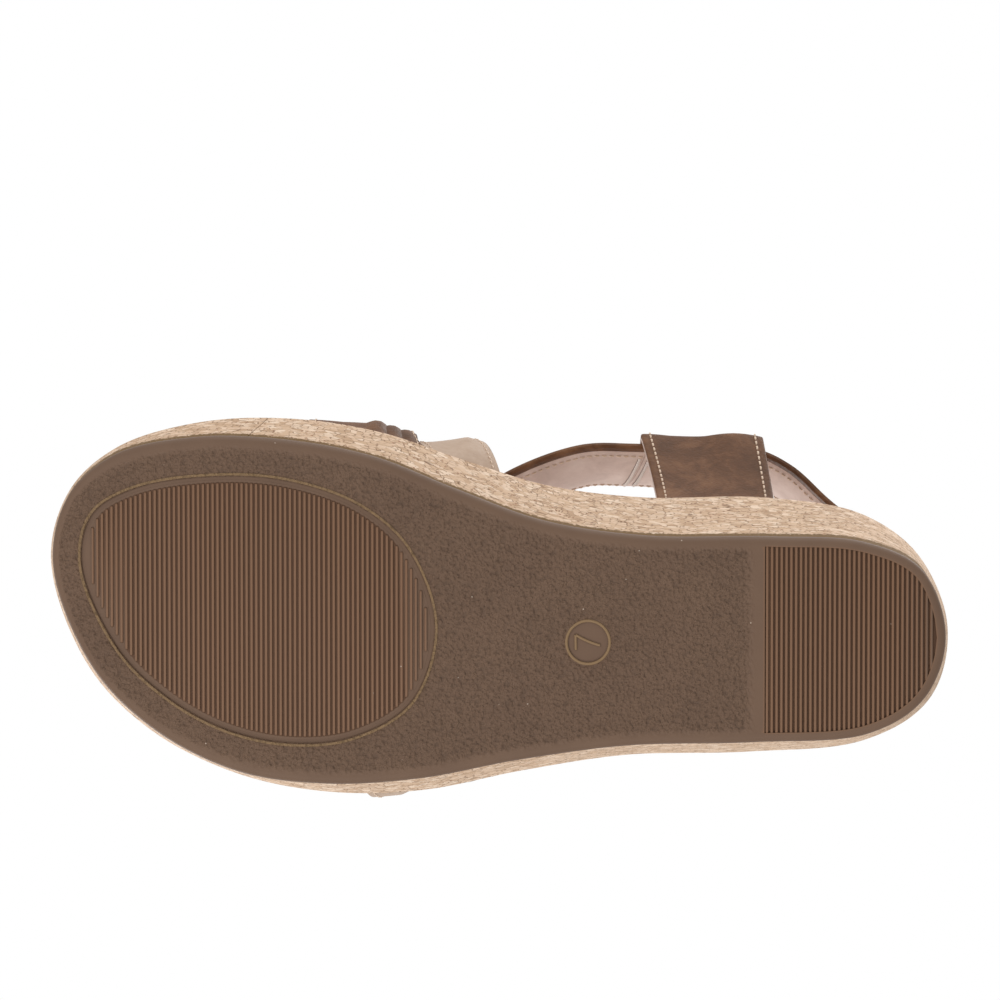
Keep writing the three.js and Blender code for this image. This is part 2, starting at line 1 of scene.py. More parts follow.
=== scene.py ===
import math
import bpy
import numpy as np
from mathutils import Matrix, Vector


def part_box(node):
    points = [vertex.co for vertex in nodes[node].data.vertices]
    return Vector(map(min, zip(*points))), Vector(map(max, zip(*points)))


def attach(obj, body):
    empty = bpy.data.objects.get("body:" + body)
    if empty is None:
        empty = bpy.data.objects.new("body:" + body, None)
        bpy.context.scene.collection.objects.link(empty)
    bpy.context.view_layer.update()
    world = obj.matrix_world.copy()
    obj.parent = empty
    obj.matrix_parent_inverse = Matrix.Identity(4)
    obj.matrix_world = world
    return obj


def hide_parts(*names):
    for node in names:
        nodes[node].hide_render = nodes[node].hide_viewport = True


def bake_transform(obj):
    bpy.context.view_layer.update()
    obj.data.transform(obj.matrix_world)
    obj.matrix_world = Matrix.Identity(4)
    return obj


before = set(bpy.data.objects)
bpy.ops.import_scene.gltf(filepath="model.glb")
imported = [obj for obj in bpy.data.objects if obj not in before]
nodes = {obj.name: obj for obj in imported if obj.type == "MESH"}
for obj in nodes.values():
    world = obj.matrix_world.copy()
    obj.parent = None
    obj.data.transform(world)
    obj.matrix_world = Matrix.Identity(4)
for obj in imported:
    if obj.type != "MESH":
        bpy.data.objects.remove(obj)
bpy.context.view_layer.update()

# ---------------------------------------------------------------- camera, light and floor
# The shoe is looked at from under the sole, toe to the left and the inner side up, with a long lens and a
# slight tilt, so that a little of the upper shows past the inner side. The floor is shown only to a camera
# above it.

VIEW_TILT = math.radians(3.5)
VIEW_DISTANCE = 1.8
FRAME_WIDTH = 0.2746  # what the picture spans at the sole
SENSOR = 36.0
view_centre = Vector((-0.0003, 0.031, 0.0))
view_direction = Vector((0, -math.sin(VIEW_TILT), math.cos(VIEW_TILT)))

camera_data = bpy.data.cameras.new("camera")
camera_data.sensor_width = SENSOR
camera_data.lens = SENSOR * VIEW_DISTANCE / FRAME_WIDTH
camera_data.clip_start, camera_data.clip_end = 0.05, 20
camera = bpy.data.objects.new("camera", camera_data)
camera.location = view_centre - view_direction * VIEW_DISTANCE
camera.rotation_euler = (math.pi - VIEW_TILT, 0, math.pi)
bpy.context.scene.collection.objects.link(camera)
bpy.context.scene.camera = camera


def linear(hex_colour):
    """An sRGB colour such as "#a08060" as linear red, green, blue and alpha."""
    parts = [int(hex_colour[i : i + 2], 16) / 255 for i in (1, 3, 5)]
    return tuple(p / 12.92 if p <= 0.04045 else ((p + 0.055) / 1.055) ** 2.4 for p in parts) + (1.0,)


def add_node(tree, kind, inputs=None, **settings):
    """A shader node of that kind in a tree, with its settings, and a value or a link for each named input."""
    node = tree.nodes.new("ShaderNode" + kind)
    for name, value in settings.items():
        setattr(node, name, value)
    for name, value in (inputs or {}).items():
        if isinstance(value, bpy.types.NodeSocket):
            tree.links.new(value, node.inputs[name])
        else:
            node.inputs[name].default_value = value
    return node


def new_material(name, uniform):
    """A material with these uniform numbers and colours on its shader's sockets, and its tree and shader."""
    stuff = bpy.data.materials.new(name)
    stuff.use_nodes = True
    shader = stuff.node_tree.nodes["Principled BSDF"]
    for socket, value in uniform.items():
        shader.inputs[socket].default_value = value
    return stuff, stuff.node_tree, shader


world = bpy.data.worlds.new("studio")
bpy.context.scene.world = world
world.use_nodes = True
sky = world.node_tree
sky.nodes.clear()
seen = add_node(sky, "Background", {"Color": (1, 1, 1, 1), "Strength": 1.0})
felt = add_node(sky, "Background", {"Color": (1, 1, 1, 1), "Strength": 0.8})
ray = add_node(sky, "LightPath")
both = add_node(sky, "MixShader", {0: ray.outputs["Is Camera Ray"], 1: felt.outputs[0], 2: seen.outputs[0]})
add_node(sky, "OutputWorld", {"Surface": both.outputs[0]})
bpy.context.scene.view_settings.view_transform = "Standard"


def soft_light(name, place, target, size, power):
    """A large square lamp that faces a target."""
    data = bpy.data.lights.new(name, "AREA")
    data.shape, data.size, data.energy = "SQUARE", size, power
    lamp = bpy.data.objects.new(name, data)
    lamp.location = place
    lamp.rotation_euler = (Vector(target) - Vector(place)).to_track_quat("-Z", "Y").to_euler()
    bpy.context.scene.collection.objects.link(lamp)


soft_light("under_lateral", (0.35, -1.0, -1.1), (0, 0, 0.02), 0.9, 8)
soft_light("under_toe", (0.9, 0.3, -1.0), (0, 0, 0.02), 0.7, 4)
soft_light("medial_side", (-0.2, 1.3, 0.25), (0, 0, 0.05), 0.9, 6)
soft_light("over_front", (0.8, -0.9, 1.2), (0, 0, 0.05), 0.9, 14)
soft_light("over_back", (-0.9, 0.7, 1.3), (0, 0, 0.05), 0.9, 8)

bpy.ops.mesh.primitive_plane_add(size=6, location=(0, 0, -0.0006))
floor = bpy.context.object
floor.name = "floor"
paper = bpy.data.materials.new("pale_paper_floor")
paper.use_nodes = True
tree = paper.node_tree
tree.nodes.clear()
matt = add_node(tree, "BsdfDiffuse", {"Color": linear("#f2f0ed")})
clear = add_node(tree, "BsdfTransparent")
facing = add_node(tree, "NewGeometry")
sided = add_node(
    tree, "MixShader", {0: facing.outputs["Backfacing"], 1: matt.outputs[0], 2: clear.outputs[0]}
)
add_node(tree, "OutputMaterial", {"Surface": sided.outputs[0]})
floor.data.materials.append(paper)
floor.visible_shadow = False
floor.visible_diffuse = False
floor.visible_glossy = False

# ---------------------------------------------------------------- outsole
# Injection-moulded rubber: a smooth rounded edge, a fine pebble grain over the flat, an oval sunk under the
# ball with cross ribs in it, and cross ribs under the heel. A raised ring round a plain disc carries the size
# figure.

MM = 0.001
sole_low, sole_high = (np.array(corner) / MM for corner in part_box("outsole"))
SOLE_LENGTH = sole_high[0] - sole_low[0]
SOLE_WIDTH = 95.5
OUTSOLE_THICKNESS = 5.0
EDGE_RADIUS = 2.2
TOE_SPRING = 5.0
TREAD_DEPTH = 1.2
RIB_PITCH = 1.33
RIB_WIDTH = 0.74
HEEL_INSET = 2.6
HEEL_DEPTH = 0.85
PAD_INSET = 1.75  # from the oval's edge to the ends of its ribs
LIP_OFFSET = 0.55
BEHIND_TREAD = 1.9  # plates and ribs end inside the rubber at this depth
STATIONS = 220


def along(percent):
    """A place along the sole, from 0 at the back of the heel to 100 at the toe tip."""
    return (percent / 100 - 0.5) * SOLE_LENGTH


def across(percent):
    """A place across the sole, in percent of its width from its middle line, inner side positive."""
    return percent / 100 * SOLE_WIDTH


# Each point: percent along, percent across, and how far the cork rim above stands out past it.
SOLE_OUTLINE = [
    (100, 13.6, 2), (98.2, 33.4, 1), (93, 45.2, 1.1), (84.1, 50.3, 3), (74.4, 49.8, 4.8),
    (64.2, 45, 5.8), (54.9, 35.6, 6.9), (45.1, 26.4, 8), (33.7, 22, 8.2), (19.5, 21.7, 8),
    (9, 20, 5.2), (2.6, 12, 2), (0, -7.3, 3.6), (2.4, -25.1, 6.2), (8.5, -35.1, 6.5),
    (21.5, -37.7, 7.2), (35.8, -38.7, 6.4), (48, -42.9, 6), (58.9, -48.2, 5.6), (69.5, -49.7, 4.4),
    (79.4, -46.1, 2.9), (88.8, -34, 2.9), (95.7, -15.9, 2.8),
]
OVAL_OUTLINE = [
    (96.7, 13.6), (95.5, 28), (90.8, 35.5), (81.3, 39.2), (73.2, 37.6), (65.4, 30.3), (60.1, 17.8), (
        57.2, -4.2
    ),
    (59.8, -25.7), (66.3, -35.9), (73.6, -37.7), (80.9, -33.5), (87.4, -24.1), (92.7, -10.5),
]


def smooth_loop(points, per_span=40):
    """A smooth closed curve through the points."""
    p = np.array(points, float)
    before, after, second = np.roll(p, 1, 0), np.roll(p, -1, 0), np.roll(p, -2, 0)
    d0, d1, d2 = (
        np.linalg.norm(b - a, axis=1, keepdims=True) ** 0.5 for a, b in (
            (before, p), (p, after), (after, second)
        )
    )
    leave = ((p - before) / d0 - (after - before) / (d0 + d1) + (after - p) / d1) * d1
    arrive = ((after - p) / d1 - (second - p) / (d1 + d2) + (second - after) / d2) * d1
    t = (np.arange(per_span) / per_span)[None, :, None]
    p, after, leave, arrive = (x[:, None, :] for x in (p, after, leave, arrive))
    loop = (2 * t**3 - 3 * t**2 + 1) * p + (t**3 - 2 * t**2 + t) * leave
    loop = loop + (3 * t**2 - 2 * t**3) * after + (t**3 - t**2) * arrive
    return loop.reshape(-1, p.shape[2])


def outline(points):
    """The smooth outline of points given as percents, as x, y and flare."""
    return smooth_loop([(along(x), across(y), flare[0] if flare else 0) for x, y, *flare in points])


def offset_loop(loop, distance):
    """The outline moved outwards by a distance, which may differ from point to point."""
    step = np.roll(loop, -1, 0) - np.roll(loop, 1, 0)
    outward = np.stack([step[:, 1], -step[:, 0]], 1)
    outward /= np.linalg.norm(outward, axis=1, keepdims=True)
    moved = loop.copy()
    moved[:, :2] += outward * np.reshape(distance, (-1, 1))
    return moved


def crossing(loop, x, side):
    """Where the outline crosses each x on its inner (1) or outer (-1) side."""
    start = int(np.argmax(loop[:, 0]))
    loop = np.roll(loop, -start, 0)
    back = int(np.argmin(loop[:, 0]))
    chain = loop[: back + 1][::-1] if side > 0 else np.vstack([loop[back:], loop[:1]])
    return np.interp(x, chain[:, 0], chain[:, 1])


def ring(loop, height, stations=STATIONS):
    """The outline as a ring at height(x), in pairs of points that share their x, closer near the tips."""
    low, high = loop[loop[:, 0].argmin()], loop[loop[:, 0].argmax()]
    x = low[0] + (high[0] - low[0]) * (0.5 - 0.5 * np.cos(np.pi * np.arange(1, stations) / stations))
    inner = np.stack([x, crossing(loop, x, 1)], 1)
    outer = np.stack([x, crossing(loop, x, -1)], 1)[::-1]
    flat = np.vstack([low[:2], inner, high[:2], outer])
    return np.column_stack([flat, height(flat[:, 0])])


def side_faces(rows, n, hoop=False):
    """The faces between each ring of n points and the next, and in a hoop from the last to the first."""
    faces = []
    for k in range(rows if hoop else rows - 1):
        low, high = k * n, (k + 1) % rows * n
        faces += [(low + i, low + (i + 1) % n, high + (i + 1) % n, high + i) for i in range(n)]
    return faces


def tube(rings, closed=False):
    """The skin over a stack of rings, with one flat face at each end unless it is closed on itself."""
    n = len(rings[0])
    faces = side_faces(len(rings), n, closed)
    if not closed:
        faces += [tuple(range(n))[::-1], tuple((len(rings) - 1) * n + i for i in range(n))]
    return np.vstack(rings), faces


def loft(rings, hoop=False):
    """The skin over a stack of outline rings, closed by strips across, or as a hoop."""
    n = len(rings[0])
    faces = side_faces(len(rings), n, hoop)
    if not hoop:
        top = (len(rings) - 1) * n
        for i in range(n // 2):
            strip = [i, i + 1, n - i - 1, (n - i) % n]
            strip = list(dict.fromkeys(strip))
            faces.append(tuple(strip[::-1]))
            faces.append(tuple(top + s for s in strip))
    return np.vstack(rings), faces


def make(name, skin, material=None, sharp=35):
    """A mesh object from vertices in millimetres and faces, smooth but for edges sharper than that angle."""
    vertices, faces = skin
    mesh = bpy.data.meshes.new(name)
    mesh.from_pydata((np.asarray(vertices) * MM).tolist(), [], faces)
    mesh.validate()
    mesh.shade_smooth()
    mesh.set_sharp_from_angle(angle=math.radians(sharp))
    thing = bpy.data.objects.new(name, mesh)
    bpy.context.scene.collection.objects.link(thing)
    if material:
        mesh.materials.append(material)
    return thing


def apply_modifiers(thing):
    """Turns what the modifiers make into the object's own mesh."""
    bpy.context.view_layer.update()
    shaped = bpy.data.meshes.new_from_object(thing.evaluated_get(bpy.context.evaluated_depsgraph_get()))
    shaped.name = thing.data.name
    thing.modifiers.clear()
    thing.data = shaped
    return thing


def outward_faces(thing):
    """Makes every closed shell of the mesh face outwards."""
    bpy.context.view_layer.objects.active = thing
    bpy.ops.object.select_all(action="DESELECT")
    thing.select_set(True)
    bpy.ops.object.mode_set(mode="EDIT")
    bpy.ops.mesh.select_all(action="SELECT")
    bpy.ops.mesh.normals_make_consistent(inside=False)
    bpy.ops.object.mode_set(mode="OBJECT")
    return thing


def joined(name, skins):
    """Several skins as one."""
    vertices, faces, count = [], [], 0
    for v, f in skins:
        vertices.append(np.asarray(v))
        faces += [tuple(count + i for i in face) for face in f]
        count += len(v)
    return np.vstack(vertices), faces


def sweep(path, across_way, up_way, section, closed=False):
    """A closed skin along a path: section is a list of (sideways, upwards) offsets, in millimetres."""
    ways = zip(path, across_way, up_way)
    return tube([np.array([p + a * s + u * h for s, h in section]) for p, a, u in ways], closed)


def store(thing, name, values):
    """Stores a number on each vertex, for the material to read."""
    layer = thing.data.attributes.new(name, "FLOAT", "POINT")
    layer.data.foreach_set("value", values.astype(np.float32))


def ground(x):
    """Height of the sole's underside: it curls up towards the toe."""
    return TOE_SPRING * (np.clip(np.asarray(x, float) - along(68), 0, None) / (along(100) - along(68))) ** 2


sole_edge = outline(SOLE_OUTLINE)
oval = outline(OVAL_OUTLINE)
heel_field = offset_loop(sole_edge, -HEEL_INSET)
HEEL_RIBS = (along(1.6), along(20.3))
PAD_DEPTH = 0.62
MARK = np.array([-24.5, -8.2])
MARK_RADIUS = 5.95

rings = []
for angle in range(0, 91, 15):
    inset = EDGE_RADIUS * (1 - math.sin(math.radians(angle)))
    rise = EDGE_RADIUS * (1 - math.cos(math.radians(angle)))
    rings.append(ring(offset_loop(sole_edge, -inset), lambda x, rise=rise: ground(x) + rise))
for inset in (2.9, 4.2):
    rings.insert(0, ring(offset_loop(sole_edge, -inset), ground))
for inset, below in ((0, 0.5), (0.15, 0.15), (0.5, 0)):
    rings.append(ring(offset_loop(sole_edge, -inset), lambda x, h=OUTSOLE_THICKNESS - below: ground(x) + h))
outsole = outward_faces(make("outsole_rubber", loft(rings)))


def cut(thing, cutter):
    """Takes the cutter's volume out of the object."""
    outward_faces(cutter)
    tool = thing.modifiers.new("cut", "BOOLEAN")
    tool.operation, tool.solver, tool.object = "DIFFERENCE", "EXACT", cutter
    apply_modifiers(thing)
    bpy.data.objects.remove(cutter)


def pocket(name, loop, depth, chamfer=0.22, stations=140):
    """A cutter for a sunk area with a chamfered mouth and a slight draft."""
    levels = [(chamfer + 0.5, -0.5), (chamfer, 0.0), (0, chamfer), (-0.12, depth - 0.15), (-0.3, depth)]
    return make(name, loft([
        ring(offset_loop(loop, grow), lambda x, z=z: ground(x) + z, stations) for grow, z in levels
    ]))


cut(outsole, pocket("oval_pocket", oval, TREAD_DEPTH))
heel_x = np.linspace(heel_field[:, 0].min(), HEEL_RIBS[1], 90)
heel_flat = np.vstack([
    np.stack([heel_x, crossing(heel_field, heel_x, 1)], 1),
    np.stack([heel_x, crossing(heel_field, heel_x, -1)], 1)[::-1],
])
heel_levels = [np.column_stack([heel_flat, np.full(len(heel_flat), z)]) for z in (-1.0, HEEL_DEPTH)]
cut(outsole, make("heel_pocket", tube(heel_levels)))
turn = np.linspace(0, 2 * np.pi, 64, endpoint=False)
disc = [
    np.column_stack([MARK[0] + r * np.cos(turn), MARK[1] + r * np.sin(turn), np.full(64, z)])
    for r, z in ((MARK_RADIUS, -1.0), (MARK_RADIUS, 0.1), (MARK_RADIUS - 0.15, 0.28))
]
cut(outsole, make("mark_disc", tube(disc)))


def ribs(loop, start, end, floor_depth):
    """Cross ribs with rounded tops and ends that stand on a pocket's floor, inside an outline."""
    half = RIB_WIDTH / 2
    profile = [(-half - 0.12, floor_depth + 0.2), (-half, 0.3), (-half * 0.78, 0.1), (0, 0.04)]
    profile += [(-s, h) for s, h in profile[-2::-1]]
    skins = []
    for i in range(int((end - start) / RIB_PITCH)):
        x = start + (i + 0.5) * RIB_PITCH
        inner, outer = crossing(loop, x, 1), crossing(loop, x, -1)
        if inner - outer < 2:
            continue
        ends = [(outer + step, drop) for step, drop in ((0, 0.45), (0.18, 0.12), (0.5, 0))]
        ends += [(inner - step, drop) for step, drop in ((0.5, 0), (0.18, 0.12), (0, 0.45))]
        level = float(ground(x))
        skins.append(tube([
            [(x + s, y, level + max(h, min(h + drop, floor_depth))) for s, h in profile] for y, drop in ends
        ]))
    return skins


def flat_way(loop_points):
    """Outward and downward directions along a closed path on the underside."""
    step = np.roll(loop_points, -1, 0) - np.roll(loop_points, 1, 0)
    outward = np.column_stack([step[:, 1], -step[:, 0], np.zeros(len(step))])
    outward /= np.linalg.norm(outward, axis=1, keepdims=True)
    return outward, np.tile([0, 0, -1.0], (len(step), 1))


pad = offset_loop(oval, -PAD_INSET)
tread = [
    loft(
        [ring(offset_loop(oval, -1.05), lambda x, z=z: ground(x) + z, 140) for z in (PAD_DEPTH, BEHIND_TREAD)]
    ),
    loft([ring(offset_loop(pad, 0.06), lambda x, z=z: ground(x) + z, 140) for z in (PAD_DEPTH - 0.04,
        BEHIND_TREAD)]),
]
heel_floor = offset_loop(heel_field, -0.04)
tread.append(
    loft([ring(heel_floor, lambda x, z=z: ground(x) + z, 140) for z in (PAD_DEPTH + 0.1, BEHIND_TREAD)])
)
tread += ribs(pad, pad[:, 0].min(), pad[:, 0].max(), TREAD_DEPTH)
heel_count = int((HEEL_RIBS[1] - heel_field[:, 0].min()) / RIB_PITCH)
tread += ribs(
    offset_loop(heel_field, 0.25), HEEL_RIBS[1] - heel_count * RIB_PITCH, HEEL_RIBS[1] + 0.1, HEEL_DEPTH
)

lip = offset_loop(oval, LIP_OFFSET)[::4]
lip_path = np.column_stack([lip[:, :2], ground(lip[:, 0])])
bead = [(0.42 * math.cos(a), 0.3 * math.sin(a)) for a in np.linspace(0, 2 * math.pi, 8, endpoint=False)]
tread.append(sweep(lip_path, *flat_way(lip_path), bead, closed=True))
mark_path = np.column_stack(
    [MARK[0] + MARK_RADIUS * np.cos(turn), MARK[1] + MARK_RADIUS * np.sin(turn), 0 * turn]
)
line = [(0.42 * math.cos(a), 0.4 * math.sin(a)) for a in np.linspace(0, 2 * math.pi, 10, endpoint=False)]
tread.append(sweep(mark_path, *flat_way(mark_path), line, closed=True))
# The figure seven, lying on its side: a short bar and a bowed stem.
for stroke in (
    [(3.45, 2.05), (3.4, 0.0), (3.35, -2.1)],
    [(3.4, 2.0), (1.9, 1.15), (0.2, 0.35), (-1.6, -0.35), (-3.3, -0.85)],
):
    stroke = np.array(stroke)
    fine = np.linspace(0, len(stroke) - 1, 14)
    path = np.column_stack([np.interp(fine, range(len(stroke)), stroke[:, k]) for k in (0, 1)])
    path = np.column_stack([MARK + path, np.full(len(path), 0.16)])
    step = np.gradient(path, axis=0)
    sideways = np.column_stack([step[:, 1], -step[:, 0], 0 * step[:, 0]])
    sideways /= np.linalg.norm(sideways, axis=1, keepdims=True)
    tread.append(sweep(path, sideways, np.tile([0, 0, -1.0], (len(path), 1)), line))
ribbing = outward_faces(make("outsole_tread", joined("tread", tread), sharp=50))
bpy.ops.object.select_all(action="DESELECT")
ribbing.select_set(True)
outsole.select_set(True)
bpy.context.view_layer.objects.active = outsole
bpy.ops.object.join()
outsole.data.shade_smooth()
outsole.data.set_sharp_from_angle(angle=math.radians(38))

# How deep each point lies in the tread. The material darkens the grooves between the ribs, partly the
# rubber's own deeper tone and partly painted shade, and the trench inside the oval's wall as painted shade.
place = np.array([v.co for v in outsole.data.vertices]) / MM
depth = place[:, 2] - ground(place[:, 0])


def inside(loop, margin, margin_along):
    """Which vertices lie inside the outline grown by a margin, and by another one along the sole."""
    x, y = place[:, 0], place[:, 1]
    between = (y < crossing(loop, x, 1) + margin) & (y > crossing(loop, x, -1) - margin)
    return between & (x > loop[:, 0].min() - margin_along) & (x < loop[:, 0].max() + margin_along)


in_oval = inside(oval, -0.05, 0)
in_heel = inside(heel_field, 0.01, 0.01) & (place[:, 0] < HEEL_RIBS[1] + 0.01)
in_pad = inside(pad, 0.1, 0.1)
ribbed = in_pad | in_heel
# The sunk mask marks where the material paints shade: deep between the ribs and in the trench by the oval's
# wall.
between_ribs = np.clip((depth - 0.12) / 0.5, 0, 1)
in_trench = np.where(in_oval, np.clip((depth - PAD_DEPTH - 0.05) / 0.3, 0, 1), 0)
sunk = np.where(ribbed, between_ribs, in_trench)
store(outsole, "ribbed", ribbed)
store(outsole, "raised", np.clip(-depth / 0.12, 0, 1))
store(outsole, "sunk", sunk)

# Moulded rubber: warm brown with a dull surface, darker between the ribs, partly its own deeper tone and
# partly painted shade, and paler where it stands proud, a painted highlight.
rubber, tree, shader = new_material(
    "moulded_rubber", {"Roughness": 0.62, "IOR": 1.5, "Specular IOR Level": 0.35}
)
where = add_node(tree, "TexCoord").outputs["Object"]
sunk_here = add_node(tree, "Attribute", attribute_name="sunk").outputs["Fac"]
drift = add_node(tree, "TexNoise", {"Vector": where, "Scale": 45.0, "Detail": 4.0, "Roughness": 0.6})
skin_tone = add_node(
    tree, "Mix", {0: drift.outputs["Fac"], 6: linear("#5e4737"), 7: linear("#6f5643")}, data_type="RGBA"
)
ribbed_here = add_node(tree, "Attribute", attribute_name="ribbed").outputs["Fac"]
top_tone = add_node(
    tree, "Mix", {0: ribbed_here, 6: skin_tone.outputs[2], 7: linear("#75563f")}, data_type="RGBA"
)
# The sunk mask mixes the tread's floor to dark brown: painted shade in the trench, and between the ribs
# partly painted shade and partly the rubber's deeper tone.
tone = add_node(tree, "Mix", {0: sunk_here, 6: top_tone.outputs[2], 7: linear("#50341f")}, data_type="RGBA")
# Painted highlight: the lip bead, the mark's ring and the figure, which stand proud, are mixed towards a pale
# ochre.
proud = add_node(tree, "Attribute", attribute_name="raised").outputs["Fac"]
proud_highlight = add_node(tree, "Mix", {0: proud, 6: tone.outputs[2], 7: linear("#806648")}, data_type="RGBA")
# Rare tiny pale specks scattered over the rubber.
speck_cells = add_node(tree, "TexVoronoi", {"Vector": where, "Scale": 260.0, "Randomness": 1.0})
speck_pick = add_node(tree, "SeparateColor", {0: speck_cells.outputs["Color"]})
grit = add_node(tree, "Math", {0: speck_cells.outputs["Distance"], 1: 0.05}, operation="LESS_THAN")
rare = add_node(tree, "Math", {0: speck_pick.outputs["Red"], 1: 0.9}, operation="GREATER_THAN")
pale_specks = add_node(tree, "Math", {0: grit.outputs[0], 1: rare.outputs[0]}, operation="MULTIPLY")
specked_rubber = add_node(
    tree, "Mix", {0: pale_specks.outputs[0], 6: proud_highlight.outputs[2], 7: linear("#b3a191")}, data_type="RGBA"
)
# The grain is pebbles about 0.9 mm across with a skin of about 1 mm waves between them, and it stops at the
# mark, the edge and the heel.
grain = add_node(tree, "TexNoise", {"Vector": where, "Scale": 1000.0, "Detail": 3.0, "Roughness": 0.6})
pebble = add_node(
    tree, "TexVoronoi", {"Vector": where, "Scale": 1100.0, "Randomness": 1.0}, feature="SMOOTH_F1"
)
relief = add_node(
    tree, "Math", {0: grain.outputs["Fac"], 1: pebble.outputs["Distance"]}, operation="SUBTRACT"
)
to_mark = add_node(tree, "VectorMath", {0: where, 1: (MARK[0] * MM, MARK[1] * MM, 0)}, operation="DISTANCE")
off_mark = add_node(
    tree, "MapRange", {"Value": to_mark.outputs["Value"], "From Min": 0.0062, "From Max": 0.0068}
)
axes = add_node(tree, "SeparateXYZ", {0: where})
off_heel = add_node(
    tree, "MapRange",
    {"Value": axes.outputs["X"], "From Min": (HEEL_RIBS[1] + 2.5) * MM, "From Max": (HEEL_RIBS[1] + 6) * MM},
)
mask = add_node(tree, "Math", {0: off_mark.outputs[0], 1: off_heel.outputs[0]}, operation="MULTIPLY")
above = add_node(tree, "Math", {0: 1.0, 1: sunk_here}, operation="SUBTRACT")
flats = add_node(tree, "Attribute", attribute_name="grained").outputs["Fac"]
mask = add_node(tree, "Math", {0: mask.outputs[0], 1: above.outputs[0]}, operation="MULTIPLY")
mask = add_node(tree, "Math", {0: mask.outputs[0], 1: flats}, operation="MULTIPLY")
height = add_node(tree, "Math", {0: mask.outputs[0], 1: relief.outputs[0]}, operation="MULTIPLY")
bump = add_node(tree, "Bump", {"Height": height.outputs[0], "Strength": 0.9, "Distance": 0.0012})
tree.links.new(bump.outputs["Normal"], shader.inputs["Normal"])
# Painted shade: the low spots of the pebble grain are mixed towards dark brown.
pit_shade = add_node(
    tree, "MapRange", {"Value": height.outputs[0], "From Min": 0.05, "From Max": -0.3, "To Max": 0.3}
)
shaded = add_node(
    tree, "Mix", {0: pit_shade.outputs[0], 6: specked_rubber.outputs[2], 7: linear("#3a2b20")}, data_type="RGBA"
)
tree.links.new(shaded.outputs[2], shader.inputs["Base Color"])
edge_distance = np.minimum(
    crossing(sole_edge, place[:, 0], 1) - place[:, 1], place[:, 1] - crossing(sole_edge, place[:, 0], -1)
)
grained = np.clip((edge_distance - 2.6) / 1.4, 0, 1) * (depth < 0.05) * ~(in_oval | in_heel)
store(outsole, "grained", grained)
outsole.data.materials.clear()
outsole.data.materials.append(rubber)
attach(outsole, "sandal")
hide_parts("outsole")

# ---------------------------------------------------------------- cork wrap
# A 1.6 mm sheet of pressed cork granules, glued round the wedge with its ends in a slanting butt joint beside
# the big toe. Its foot sits just inside the rubber's edge, where dark glue shows round the foot.

PLATFORM_HEIGHT = 24.0
HEEL_HEIGHT = 50.0
CORK_STEP = 0.5
CORK_THICKNESS = 1.6
CORK_SEAM = 0.25
GRANULE_LENGTH = 2.2
GRANULE_HEIGHT = 1.25


def smoothstep(x, low, high):
    t = np.clip((np.asarray(x, float) - low) / (high - low), 0, 1)
    return t * t * (3 - 2 * t)


def lerp(a, b, t):
    return a + (b - a) * t


def rim(x):
    """Height of the cork's upper edge, where the footbed's edge lies too."""
    return ground(x) + lerp(PLATFORM_HEIGHT, HEEL_HEIGHT, 1 - smoothstep(x, along(16), along(66)))


def wall_foot(x):
    return ground(x) + OUTSOLE_THICKNESS + 0.3


def wall(share, inset):
    """The side wall's outline at a share of the way up from its foot, moved inwards."""
    return offset_loop(sole_edge, lerp(-CORK_STEP, sole_edge[:, 2], share) - inset)


def wall_ring(share, inset, rise=0.0):
    return ring(wall(share, inset), lambda x: lerp(wall_foot(x), rim(x), share) + rise)


# Each level: share of the way up the wall, inset and rise.
profile = [
    (0.0, 0.12, 0.0), (0.0, 0.0, 0.2), (0.0, 0.0, 1.3), (0.33, 0.0, 0), (0.66, 0.0, 0), (1.0, 0.0, -0.75),
    (1.0, 0.12, -0.35), (1.0, 0.45, -0.08), (1.0, 0.85, 0),
] + [(share, CORK_THICKNESS, 0) for share in (1.0, 0.5, 0.0)]
cork = outward_faces(make("cork_band", loft([wall_ring(*level) for level in profile], hoop=True), sharp=60))
bpy.ops.mesh.primitive_cube_add(size=1)
knife = bpy.context.object
knife.scale = (CORK_SEAM * MM, 0.02, 0.07)
knife.rotation_euler = (0, -math.atan2(along(2.5) - along(0), PLATFORM_HEIGHT - OUTSOLE_THICKNESS), 0)
knife.location = (along(77.6) * MM, across(53) * MM, PLATFORM_HEIGHT / 2 * MM)
bpy.ops.object.transform_apply(location=True, rotation=True, scale=True)
cut(cork, knife)

# Each corner of a face carries its place on the unrolled strip, so that the granules lie along the wall.
edge_step = np.linalg.norm(np.roll(sole_edge[:, :2], -1, 0) - sole_edge[:, :2], axis=1)
edge_length = np.concatenate([[0], np.cumsum(edge_step)])
place = np.array([v.co for v in cork.data.vertices]) / MM
nearest = np.argmin(((place[:, None, :2] - sole_edge[None, :, :2]) ** 2).sum(2), 1)
back_step = place[:, :2] - sole_edge[nearest, :2]
way = np.roll(sole_edge[:, :2], -1, 0) - np.roll(sole_edge[:, :2], 1, 0)
way /= np.linalg.norm(way, axis=1, keepdims=True)
round_way = edge_length[nearest] + (back_step * way[nearest]).sum(1)
corner = np.zeros((len(cork.data.loops), 3), np.float32)
for polygon in cork.data.polygons:
    spots = list(polygon.vertices)
    turns = round_way[spots]
    if turns.max() - turns.min() > edge_length[-1] / 2:
        turns = np.where(turns < edge_length[-1] / 2, turns + edge_length[-1], turns)
    for k, loop_index in enumerate(polygon.loop_indices):
        corner[loop_index] = (turns[k] * MM, place[spots[k], 2] * MM, place[spots[k], 1] * 0.1 * MM)
cork.data.attributes.new("lay", "FLOAT_VECTOR", "CORNER").data.foreach_set("vector", corner.ravel())
# How far each point stands out beyond the rubber's edge below it: the glue shows where the cork comes out.
beyond = back_step[:, 0] * way[nearest, 1] - back_step[:, 1] * way[nearest, 0]
beyond *= np.sign(np.median(beyond[beyond != 0]))
store(cork, "beyond", beyond)

